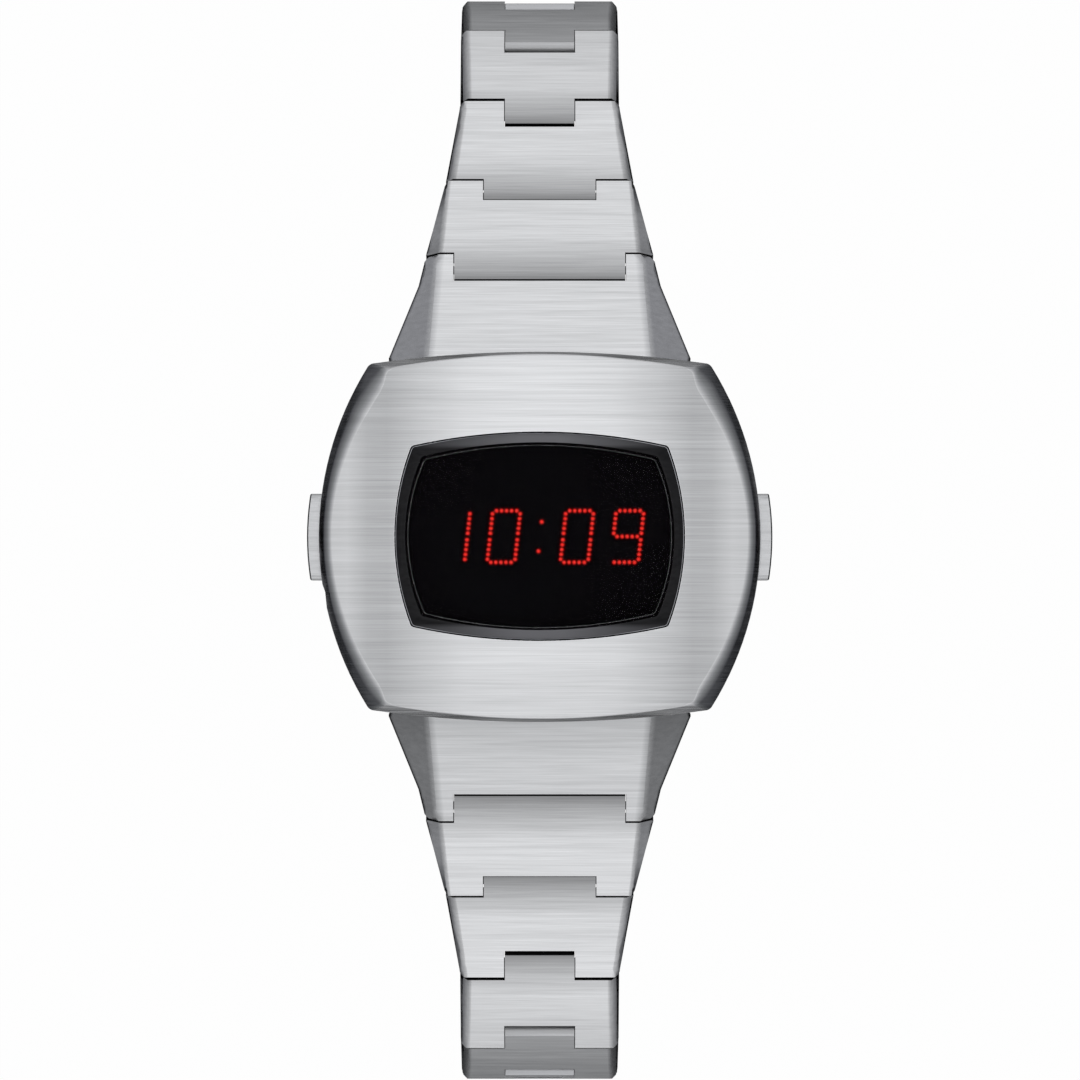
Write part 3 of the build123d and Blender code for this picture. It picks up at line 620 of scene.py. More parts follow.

# The links' steel, brushed the same way with shorter strokes; painted shade darkens its hidden end
LINK_FACE = Steel(
    "brushed_steel_link_face",
    "#BBBCBE",
    line_length=6.0,
    painted_facet_shade="#828386",
    painted_end_shade=0.34,
    end_reach=4.5,
)
END_LINK_FACE = Steel(
    "brushed_steel_end_link_face",
    "#BBBCBE",
    line_length=6.0,
    painted_facet_shade="#85868A",
    rim_lean=0.6,
    painted_end_shade=0.55,
    end_reach=1.3,
)
# Painted shade: darker copies of the link face for the lower end link and the steep links
LOWER_END_LINK_FACE = Steel(
    "brushed_steel_lower_end_link_face_painted_shade",
    "#B1B2B4",
    line_length=6.0,
    painted_facet_shade="#717274",
    rim_lean=0.6,
    painted_end_shade=0.62,
    end_reach=7.0,
)
STEEP_LINK_FACE = Steel(
    "brushed_steel_steep_link_face_painted_shade", "#A9AAAC", line_length=6.0, painted_facet_shade="#77787A"
)
EDGE_ON_LINK_FACE = Steel(
    "brushed_steel_edge_on_link_face_painted_shade", "#97989B", line_length=6.0, painted_facet_shade="#6C6D70"
)
LINK_SIDE = Steel(
    "brushed_steel_link_side", "#7E7F82", Grain.ALONG, line_length=3.0, roughness=(0.45, 0.55)
)
# Tumbled with small stones: grey and finely pitted, without lines
LINK_BACK = Steel(
    "tumbled_steel_link_back",
    "#8C8D90",
    Grain.NONE,
    0.12,
    line_width=0.3,
    roughness=(0.36, 0.5),
    depth=0.3,
)
# Painted shade, almost black, on the faces inside the gaps and on the pins seen through them
GAP_SHADE_STEEL = Steel(
    "painted_shade_steel_in_the_gaps", "#2A2A2C", Grain.NONE, 0.15, line_width=0.2, roughness=(0.5, 0.6)
)
# Edges rubbed bright by the sleeve, their lighter tone partly a painted highlight line; and painted
# shade, near black, for edges that lie in a neighbour's shade or draw a dark outline
WORN_HIGHLIGHT_EDGE = Steel(
    "worn_steel_edge_painted_highlight", "#C4C5C8", Grain.NONE, 0.06, line_width=0.4, roughness=(0.2, 0.3), depth=0.08
)
PAINTED_SHADE_EDGE = Steel(
    "painted_shade_steel_edge", "#333436", Grain.NONE, 0.1, line_width=0.3, roughness=(0.4, 0.55), depth=0.1
)
# Turned bar, drawn wire and rolled strip: clean and fairly bright
TURNED_PIN = Steel(
    "turned_steel_pin", "#8E8F93", Grain.NONE, 0.12, line_width=0.15, roughness=(0.22, 0.35)
)
SPRING_WIRE = Steel(
    "drawn_spring_wire", "#7D7E82", Grain.ALONG, 0.12, line_length=2.0, line_width=0.1
)
PRESSED_BLADE = Steel(
    "brushed_steel_blade", "#A3A4A7", Grain.ALONG, line_length=6.0, line_width=0.15
)

# Black paint, rubber and glaze: dull, softly dull and shiny, and all nearly without a reflection
SEAT_LACQUER = Solid("matt_black_lacquer", "#070708", "#0B0B0C", 0.2, (0.5, 0.7), specular=0.03)
SEAL_RUBBER = Solid("moulded_nitrile_rubber", "#09090A", "#101011", 0.15, (0.55, 0.7), specular=0.1)
BLACK_CERAMIC = Solid(
    "glazed_alumina_board", "#050406", "#09070A", 0.1, (0.25, 0.35), 0.05, specular=0.02
)
# The crystal's dyed wall, and the painted highlight line where its bevel meets it
GLASS_WALL = Solid("dyed_glass_wall", "#0B0A0C", "#141316", 0.5, (0.1, 0.2), 0.02)
HIGHLIGHT_RIM = Solid("glass_rim_painted_highlight", "#9C9DA1", "#B4B5B9", 0.5, (0.1, 0.2), 0.02)
# What the closed case holds: moulded plastics, woven glass under lacquer, and plated metal
FRAME_PLASTIC = Solid("moulded_acetal_frame", "#1B1B1D", "#27272A", 0.12, (0.45, 0.6))
CHIP_EPOXY = Solid("moulded_chip_epoxy", "#151515", "#202021", 0.08, (0.5, 0.65))
GREEN_LAMINATE = Solid("glass_fibre_laminate", "#12401F", "#1E5B2E", 0.25, (0.35, 0.5), coat=0.3)
PLATED_CAN = Solid("nickel_plated_can", "#A9A79F", "#C9C7BF", 0.3, (0.15, 0.25), 0.06, 1.0)
GOLD_STRIP = Solid("gold_plated_strip", "#B98E3C", "#D9AE57", 0.2, (0.2, 0.3), 0.06, 1.0)


@dataclass
class Bench:
    """What every sub-assembly is made from: the CAD frame, and the materials made so far."""

    frame: dict
    materials: dict[str, bpy.types.Material] = field(default_factory=dict)

    def has(self, node: str) -> bool:
        """True for a name that is a CAD node's."""
        return node in self.frame["nodes"]

    def data(self, node: str) -> bpy.types.Mesh:
        """The mesh of a CAD node, in metres."""
        return self.frame["nodes"][node].data

    def material(self, finish: Finish) -> bpy.types.Material:
        """The material of a finish, made when first asked for.

        Args:
            finish: one of the watch's finishes.

        Returns:
            Its only material.
        """
        if finish.name not in self.materials:
            self.materials[finish.name] = finish.build()
            LOG.info("finish %s", finish.name)
        return self.materials[finish.name]

    def stand(self, name: str, made: Mesh, finishes: list[Finish]) -> bpy.types.Object:
        """Turns a mesh into a piece of the scene.

        Args:
            name: the piece's name.
            made: its mesh in metres, which is used up.
            finishes: its finishes, in the order of its material indices.

        Returns:
            The piece.
        """
        mesh = bpy.data.meshes.new(name)
        made.to_mesh(mesh)
        made.free()
        piece = bpy.data.objects.new(name, mesh)
        bpy.context.scene.collection.objects.link(piece)
        for finish in finishes:
            mesh.materials.append(self.material(finish))
        LOG.info("%s: %d faces", name, len(mesh.polygons))
        return piece


@dataclass
class Rounding:
    """One choice of edges with the width of their rounding in millimetres and its finish."""

    chosen: EdgeTest
    width: float
    steps: int
    finish: Finish | None = None        # none: the rounding takes the finish of the faces beside it
    held: bool = True                   # narrower where there is no room for its width

    def cut(self, made: Mesh, mark: int) -> None:
        """Rounds the chosen edges of a mesh.

        Args:
            made: the mesh in millimetres.
            mark: the material index of the new faces, or -1 for that of the faces beside them.
        """
        bmesh.ops.bevel(
            made,
            geom=[e for e in made.edges if len(e.link_faces) == 2 and self.chosen(e)],
            offset=self.width,
            offset_type="OFFSET",
            segments=self.steps,
            profile=0.5,
            affect="EDGES",
            clamp_overlap=self.held,
            material=mark,
            loop_slide=True,
        )
        made.normal_update()


@dataclass
class Dressed:
    """One piece made from a CAD node: its mesh with eased edges, and a finish for every face."""

    node: str
    body: str
    slot: str
    plain: Finish
    edge: Finish | None = None
    width: float = 0.06                 # how far its edges are eased, in millimetres
    sharpness: float = 24.0             # edges that turn by more than this many degrees are eased
    crease: float = 38.0                # and after that, edges over this many degrees stay crisp
    flat: float = 0.4                   # faces within so many degrees of each other are joined
    scrap: float = 0.0002               # edges and faces smaller than this are dropped at the end
    rules: list[tuple[FaceTest, Finish]] = field(default_factory=list)
    roundings: list[Rounding] = field(default_factory=list)
    prepare: Callable[[Mesh], None] | None = None
    marks: dict[str, Callable[[Vector], float]] = field(default_factory=dict)   # vertex attributes
    dome: tuple[Vector, float] | None = None            # its centre and radius
    dome_reach: float = 0.004           # a point this near to the dome lies on it
    kept: EdgeTest | None = None        # the edges that stay as they are and shade smoothly

    def solid(self, bench: Bench) -> Mesh:
        """The node's mesh in millimetres, with its flat faces joined and sorted by finish.

        Args:
            bench: where the CAD mesh comes from.

        Returns:
            A new mesh, whose material indices are 0 for the plain finish and then the rules' order.
        """
        made = bmesh.new()
        made.from_mesh(bench.data(self.node))
        for vert in made.verts:
            vert.co /= MM
        bmesh.ops.remove_doubles(made, verts=made.verts, dist=WELD)
        flat = math.radians(self.flat)
        bmesh.ops.dissolve_limit(made, angle_limit=flat, verts=made.verts, edges=made.edges)
        made.normal_update()
        for face in made.faces:
            centre = face.calc_center_median()
            found = [i + 1 for i, (test, _) in enumerate(self.rules) if test(face.normal, centre)]
            face.material_index = found[0] if found else 0
        return made

    def turns(self, edge: Edge, degrees: float) -> bool:
        """True for an edge, not one of the kept, that turns by more than so many degrees."""
        return edge.calc_face_angle(0.0) > math.radians(degrees) and not (self.kept and self.kept(edge))

    def shade(self, made: Mesh) -> None:
        """Drops scraps, shades all but the crisp edges smoothly, and writes the vertex attributes.

        Args:
            made: the eased mesh in millimetres, which becomes metres.
        """
        bmesh.ops.dissolve_degenerate(made, dist=self.scrap, edges=made.edges)
        made.normal_update()
        for face in made.faces:
            face.smooth = True
        for edge in made.edges:
            edge.smooth = len(edge.link_faces) == 2 and not self.turns(edge, self.crease)
        for name, value in self.marks.items():
            layer = made.verts.layers.float.new(name)
            for vert in made.verts:
                vert[layer] = value(vert.co)
        for vert in made.verts:
            vert.co *= MM

    def build(self, bench: Bench) -> None:
        """Makes the piece, gives it its finishes, and puts it on its body for its CAD node.

        Args:
            bench: where the CAD mesh and the materials come from.
        """
        made = self.solid(bench)
        if self.prepare:
            self.prepare(made)
            made.normal_update()
        used = [self.plain, *[finish for _, finish in self.rules]]
        rest = Rounding(lambda edge: self.turns(edge, self.sharpness), self.width, 2, self.edge)
        for rounding in [*self.roundings, rest]:
            rounding.cut(made, len(used) if rounding.finish else -1)
            if rounding.finish:
                used.append(rounding.finish)
        self.shade(made)
        piece = bench.stand(self.node + "_finished", made, used)
        if self.dome:
            self.true_normals(piece.data)
        else:
            weighted = piece.modifiers.new("even_shading", "WEIGHTED_NORMAL")
            weighted.keep_sharp = True
            weighted.weight = 50
        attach(piece, self.body)
        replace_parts(piece, self.node)

    def true_normals(self, mesh: bpy.types.Mesh) -> None:
        """Gives the corners on the domed front the dome's own direction, so that it shades evenly.

        Args:
            mesh: the finished mesh in metres.
        """
        centre, radius = self.dome
        normals = [Vector(n.vector) for n in mesh.corner_normals]
        for face in mesh.polygons:
            raised = face.normal.z > 0.3
            for i in face.loop_indices:
                out = mesh.vertices[mesh.loops[i].vertex_index].co / MM - centre
                if raised and abs(out.length - radius) < self.dome_reach:
                    normals[i] = out.normalized()
        mesh.normals_split_custom_set(normals)


@dataclass
class Case:
    """The steel case with its back and screws."""

    bench: Bench
    dome_radius: float = 160.0
    front_level: float = 12.9
    girdle_level: float = 9.0
    seat_level: float = 11.25
    seat_floor: float = 9.5
    seat_rise: float = 0.9          # so far below the front the blackening of the seat's walls ends
    floor_rise: float = 0.3         # and that of its level faces so much nearer
    flank_room: float = 10.4        # above this the flank's inner points make room for the soft rim
    corner_start: tuple[float, float] = (14.6, 12.0)    # beyond both, a point is beside a corner
    side_ease: float = 0.72         # how far the rim's soft edge reaches at 3 and 9 o'clock
    upper_ease: float = 1.15        # and towards the corners beside 12 o'clock
    lower_ease: float = 0.85        # and beside 6 o'clock
    side_reach: float = 12.5        # where, up or down, it reaches that
    end_ease: float = 0.34          # and in the middle of the 12 and 6 o'clock sides
    shelf_ease: float = 0.12        # and towards their ends
    end_reach: float = 10.0         # where, across, it reaches that
    corner_shares: tuple[float, float] = (0.64, 0.1)    # where the sides' width takes over, how fast
    rim_steps: int = 8
    band: float = 2.6               # how wide a band inside the rim is laid out evenly
    window_half: tuple[float, float] = (14.2, 10.6)
    window_ease: float = 0.05
    window_sharpness: float = 40.0
    back_ease: float = 0.06
    screw_ease: float = 0.03

    def in_window(self, point: Vector) -> bool:
        """True for a point over the crystal's opening."""
        return abs(point.x) < self.window_half[0] and abs(point.y) < self.window_half[1]

    def is_front(self, normal: Vector, centre: Vector) -> bool:
        """True for a face of the domed front, not of the crystal's seat below it."""
        return normal.z > 0.97 and centre.z > self.seat_level

    def is_seat(self, normal: Vector, centre: Vector) -> bool:
        """True for the crystal's seat and its walls, blackened so that they don't shine through."""
        top = self.front_level - self.seat_rise + self.floor_rise * abs(normal.z)
        return self.in_window(centre) and self.seat_floor < centre.z < top

    def is_flank(self, normal: Vector, centre: Vector) -> bool:
        """True for a face of the flank above the girdle."""
        outward = normal.x * centre.x + normal.y * centre.y > 0
        return outward and centre.z > self.girdle_level and 0.02 < normal.z < 0.9

    def on_dome(self, x: float, y: float) -> Vector:
        """The point of the domed front over a place."""
        middle = self.front_level - self.dome_radius
        return Vector((x, y, middle + math.sqrt(self.dome_radius**2 - x * x - y * y)))

    def inward(self, point: Vector, distance: float) -> Vector:
        """The point of the dome that lies nearer to its middle by a distance."""
        share = 1 - distance / math.hypot(point.x, point.y)
        return self.on_dome(point.x * share, point.y * share)

    def is_spare(self, vert: Vert) -> bool:
        """True for a flank point beside a corner, where the soft rim needs the room.

        Args:
            vert: a point of the case.

        Returns:
            True if it touches no face but the flank's.
        """
        room = self.flank_room < vert.co.z < self.seat_level
        beside_corner = abs(vert.co.x) > self.corner_start[0] and abs(vert.co.y) > self.corner_start[1]
        if not (room and beside_corner):
            return False
        return all(self.is_flank(f.normal, f.calc_center_median()) for f in vert.link_faces)

    def rim_width(self, corner: Vector) -> float:
        """How wide the rim's soft edge is.

        Args:
            corner: a point of the rim.

        Returns:
            The width there, which changes smoothly between the sides.
        """
        far = self.upper_ease if corner.y > 0 else self.lower_ease
        side = self.side_ease + (far - self.side_ease) * min(abs(corner.y) / self.side_reach, 1.0) ** 2
        narrowing = min(abs(corner.x) / self.end_reach, 1.0)
        end = self.end_ease + (self.shelf_ease - self.end_ease) * narrowing
        start, reach = self.corner_shares
        share = abs(corner.x) / math.hypot(corner.x, corner.y)
        share = min(max((share - start) / reach, 0.0), 1.0)
        return end + (side - end) * share * share * (3 - 2 * share)

    def falls(self, rim: list[Edge], front: set[Face]) -> dict[Vert, Vector]:
        """Which way the flank falls away below each point of the rim.

        Args:
            rim: the rim's edges.
            front: the front's faces.

        Returns:
            A direction for each point, not of length 1.
        """
        down: dict[Vert, Vector] = {}
        for edge in rim:
            flank = [f for f in edge.link_faces if f not in front][0]
            fall = flank.normal.cross((edge.verts[1].co - edge.verts[0].co).normalized())
            for vert in edge.verts:
                down[vert] = down.get(vert, Vector()) + (fall if fall.z < 0 else -fall)
        return down

    def column(self, made: Mesh, vert: Vert, fall: Vector) -> list[Vert]:
        """Slides a rim point down the flank and lays a curve of points from it up onto the dome.

        Args:
            made: the case in millimetres.
            vert: the rim point.
            fall: the way down the flank, of length 1.

        Returns:
            The curve's points from the flank inwards, and one more across the even band.
        """
        corner = vert.co.copy()
        width = self.rim_width(corner)
        low, high = corner + fall * width, self.inward(corner, width)
        vert.co = low
        column = [vert]
        for k in range(1, self.rim_steps + 1):
            t = k / self.rim_steps
            column.append(made.verts.new(low * (1 - t) ** 2 + corner * (2 * t * (1 - t)) + high * t**2))
        column.append(made.verts.new(self.inward(corner, self.band)))
        return column

    def show(self, face: Face, outlook: Vector) -> None:
        """Gives a new face of the front its finish, and turns it the right way round.

        Args:
            face: the new face.
            outlook: roughly the way it should look.
        """
        face.material_index = 1
        face.normal_update()
        if face.normal.dot(outlook) < 0:
            face.normal_flip()

    def soften(self, made: Mesh) -> None:
        """Rolls the front's rim over into the flank in a soft curve, as a polishing wheel does.

        The rim's own points slide down the flank, rows of new points follow the curve back up onto
        the dome, and the rest of the front is filled again up to the window.

        Args:
            made: the case in millimetres, its faces already marked by finish.
        """
        bmesh.ops.dissolve_verts(made, verts=[v for v in made.verts if self.is_spare(v)])
        front = {f for f in made.faces if self.is_front(f.normal, f.calc_center_median())}
        border = {e for f in front for e in f.edges if sum(g in front for g in e.link_faces) == 1}
        border = sorted(border, key=lambda e: math.atan2(*(e.verts[0].co + e.verts[1].co).yx))
        window = [e for e in border if all(self.in_window(v.co) for v in e.verts)]
        rim = [e for e in border if e not in window]
        down = self.falls(rim, front)
        bmesh.ops.delete(made, geom=list(front), context="FACES")
        columns = {vert: self.column(made, vert, fall.normalized()) for vert, fall in down.items()}
        ring = []
        for edge in rim:
            left, right = [columns[v] for v in edge.verts]
            outlook = Vector((left[0].co.x, left[0].co.y, self.front_level))
            for k in range(len(left) - 1):
                face = made.faces.new((left[k], right[k], right[k + 1], left[k + 1]))
                self.show(face, outlook)
            ring.append(made.edges.get((left[-1], right[-1])))
        many = [f for f in made.faces if len(f.verts) > 4 and any(v in down for v in f.verts)]
        bmesh.ops.triangulate(made, faces=many)
        filled = bmesh.ops.triangle_fill(made, use_beauty=True, edges=ring + window, normal=(0, 0, 1))
        for face in filled["geom"]:
            if isinstance(face, Face):
                self.show(face, Vector((0, 0, 1)))

    def build(self) -> None:
        """Makes the case, its back and the screws."""
        Dressed(
            "case_body",
            "case",
            "brushed_case",
            CASE_REAR,
            WORN_HIGHLIGHT_EDGE,
            self.window_ease,
            self.window_sharpness,
            # The flank takes the front's finish, whose painted shade darkens it as it leans over
            rules=[(self.is_front, CASE_FRONT), (self.is_flank, CASE_FRONT), (self.is_seat, SEAT_LACQUER)],
            prepare=self.soften,
            dome=(Vector((0, 0, self.front_level - self.dome_radius)), self.dome_radius),
        ).build(self.bench)
        for node, slot, finish, ease in (
            ("case_back", "brushed_case", BACK_PLATE, self.back_ease),
            ("back_screws", "steel_pin", TURNED_PIN, self.screw_ease),
        ):
            Dressed(node, "case", slot, finish, WORN_HIGHLIGHT_EDGE, ease).build(self.bench)


@dataclass
class Display:
    """The crystal, its gasket, and the display board with its lit dots."""

    bench: Bench
    groups: tuple[str, ...] = ("hour_digits", "minute_digits", "colon_dots")
    lens_radius: float = 0.205
    lens_height: float = 0.12
    collar_share: float = 0.3       # of the lens's height, below its dome
    lens_rings: int = 5
    halo_radius: float = 0.42
    halo_lift: float = 0.135
    halo_rings: int = 6
    sides: int = 18
    crystal_ease: float = 0.05
    crystal_sharpness: float = 60.0
    rim_ease: float = 0.06
    gasket_ease: float = 0.02
    board_ease: float = 0.05

    def is_flat(self, normal: Vector, centre: Vector) -> bool:
        """True for the crystal's flat top or its underside."""
        return abs(normal.z) > 0.98

    def is_bevel(self, normal: Vector, centre: Vector) -> bool:
        """True for the crystal's ground bevel."""
        return 0.5 < normal.z < 0.98

    def on_rim(self, edge: Edge) -> bool:
        """True for the edge between the ground bevel and the crystal's wall."""
        levels = sorted(face.normal.z for face in edge.link_faces)
        return abs(levels[0]) < 0.1 and 0.5 < levels[1] < 0.98

    def places(self, node: str) -> list[Vector]:
        """The middle of each dot's die, at its foot.

        Args:
            node: the CAD node of one group of dots.

        Returns:
            One point for each die, in millimetres.
        """
        made = bmesh.new()
        made.from_mesh(self.bench.data(node))
        bmesh.ops.remove_doubles(made, verts=made.verts, dist=WELD * MM)
        left, found = set(made.verts), []
        while left:
            group, edge = set(), [min(left, key=lambda v: v.index)]
            while edge:
                vert = edge.pop()
                if vert not in group:
                    group.add(vert)
                    edge += [e.other_vert(vert) for e in vert.link_edges]
            left -= group
            low = [min(v.co[i] for v in group) / MM for i in range(3)]
            high = [max(v.co[i] for v in group) / MM for i in range(3)]
            found.append(Vector(((low[0] + high[0]) / 2, (low[1] + high[1]) / 2, low[2])))
        made.free()
        return sorted(found, key=lambda p: (round(p.y, 2), p.x))

    def mound(self, made: Mesh, foot: Vector, levels: list[tuple[float, float]], top: float) -> list[Vert]:
        """Adds rings of points over a dot, which close in a tip.

        Args:
            made: the group's mesh in metres.
            foot: the middle of the dot's foot, in millimetres.
            levels: each ring's radius and its height over the foot, from the outermost inwards.
            top: the tip's height over the foot.

        Returns:
            The outermost ring.
        """
        fade = made.verts.layers.float[FADE]
        rows = []
        for radius, height in levels:
            row = []
            for i in range(self.sides):
                turn = 2 * math.pi * i / self.sides
                offset = Vector((radius * math.cos(turn), radius * math.sin(turn), height))
                row.append(made.verts.new((foot + offset) * MM))
                row[-1][fade] = 1 - radius / levels[0][0]
            rows.append(row)
        tip = made.verts.new((foot + Vector((0, 0, top))) * MM)
        tip[fade] = 1.0
        for i in range(self.sides):
            j = (i + 1) % self.sides
            for low, high in zip(rows, rows[1:]):
                made.faces.new((low[i], low[j], high[j], high[i]))
            made.faces.new((rows[-1][i], rows[-1][j], tip))
        return rows[0]

    def lens(self, made: Mesh, foot: Vector) -> None:
        """Adds one dot's moulded lens: a low dome on a short collar, closed below.

        Args:
            made: the group's mesh in metres.
            foot: the middle of the dot's foot, in millimetres.
        """
        collar = self.collar_share * self.lens_height
        levels = [(self.lens_radius, 0.0)]
        for k in range(self.lens_rings):
            turn = k / self.lens_rings * math.pi / 2
            height = collar + (self.lens_height - collar) * math.sin(turn)
            levels.append((self.lens_radius * math.cos(turn), height))
        made.faces.new(list(reversed(self.mound(made, foot, levels, self.lens_height))))

    def glow(self, made: Mesh, foot: Vector) -> None:
        """Adds one dot's glow: a flat disc over the lens, which fades out from its middle."""
        radii = [self.halo_radius * k / self.halo_rings for k in range(self.halo_rings, 0, -1)]
        self.mound(made, foot, [(radius, self.halo_lift) for radius in radii], self.halo_lift)

    def lay(
        self, name: str, nodes: tuple[str, ...], finish: Finish, shape: Callable[[Mesh, Vector], None]
    ) -> bpy.types.Object:
        """Makes one piece that has the same shape over every dot.

        Args:
            name: the piece's name.
            nodes: the CAD nodes of the dots.
            finish: the piece's finish.
            shape: adds the shape over one dot.

        Returns:
            The piece, on the case.
        """
        made = bmesh.new()
        made.verts.layers.float.new(FADE)
        for node in nodes:
            for foot in self.places(node):
                shape(made, foot)
        for face in made.faces:
            face.smooth = True
        piece = self.bench.stand(name, made, [finish])
        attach(piece, "case")
        return piece

    def build(self) -> None:
        """Makes the crystal, the gasket, the board and the dots."""
        Dressed(
            "crystal",
            "case",
            "dark_glass",
            GLASS_WALL,
            None,
            self.crystal_ease,
            self.crystal_sharpness,
            # Painted reflection on the bevel: lighter middles at 12 and 6 o'clock, dark 3 and 9 o'clock
            # sides
            rules=[(self.is_flat, TintedGlass()), (self.is_bevel, PaintedReflectionBevel())],
            # Painted highlight: a light line where the bevel meets the crystal's wall
            roundings=[Rounding(self.on_rim, self.rim_ease, 2, HIGHLIGHT_RIM)],
        ).build(self.bench)
        for node, slot, finish, ease in (
            ("crystal_gasket", "black_rubber", SEAL_RUBBER, self.gasket_ease),
            ("display_board", "black_ceramic", BLACK_CERAMIC, self.board_ease),
        ):
            Dressed(node, "case", slot, finish, None, ease).build(self.bench)
        for node in self.groups:
            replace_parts(self.lay(node + "_lit", (node,), LitDiode(), self.lens), node)
        self.lay("dot_glow", self.groups, Halo(), self.glow)


@dataclass
class Module:
    """What the closed case holds under the display: frame, circuit, its parts and the cells."""

    bench: Bench
    ease: float = 0.05

    def build(self) -> None:
        """Makes every piece of the module."""
        for node, slot, finish in (
            ("module_frame", "moulded_frame", FRAME_PLASTIC),
            ("circuit_board", "green_board", GREEN_LAMINATE),
            ("driver_chip", "chip_epoxy", CHIP_EPOXY),
            ("quartz_can", "plated_can", PLATED_CAN),
            ("trimmer_capacitor", "plated_can", PLATED_CAN),
            ("power_cell_left", "plated_can", PLATED_CAN),
            ("power_cell_right", "plated_can", PLATED_CAN),
            ("cell_contact", "gold_contact", GOLD_STRIP),
        ):
            Dressed(node, "case", slot, finish, None, self.ease).build(self.bench)


@dataclass
class Pushers:
    """The two pushers with their springs, seals and clips."""

    bench: Bench
    head_start: float = 21.5        # as far out as this, a point is on a button's outer face
    head_ease: float = 0.13
    button_ease: float = 0.06
    clip_ease: float = 0.03
    soft_ease: float = 0.01

    def on_face(self, edge: Edge) -> bool:
        """True for an edge round a button's outer face."""
        return all(abs(v.co.x) > self.head_start for v in edge.verts) and edge.calc_face_angle(0.0) > 0.5

    def build(self) -> None:
        """Makes both pushers."""
        for name in ("left_pusher", "right_pusher"):
            Dressed(
                name + "_button",
                name,
                "brushed_case",
                PUSHER_STEEL,
                # Painted shade: the button's eased edges and its outer face's rim are near black, as an
                # outline
                PAINTED_SHADE_EDGE,
                self.button_ease,
                roundings=[Rounding(self.on_face, self.head_ease, 4, PAINTED_SHADE_EDGE, held=False)],
            ).build(self.bench)
            for part, body, slot, finish, ease in (
                ("_clip", name, "spring_steel", TURNED_PIN, self.clip_ease),
                ("_seal", "case", "black_rubber", SEAL_RUBBER, self.soft_ease),
                ("_spring", "case", "spring_steel", SPRING_WIRE, self.soft_ease),
            ):
                Dressed(name + part, body, slot, finish, None, ease).build(self.bench)


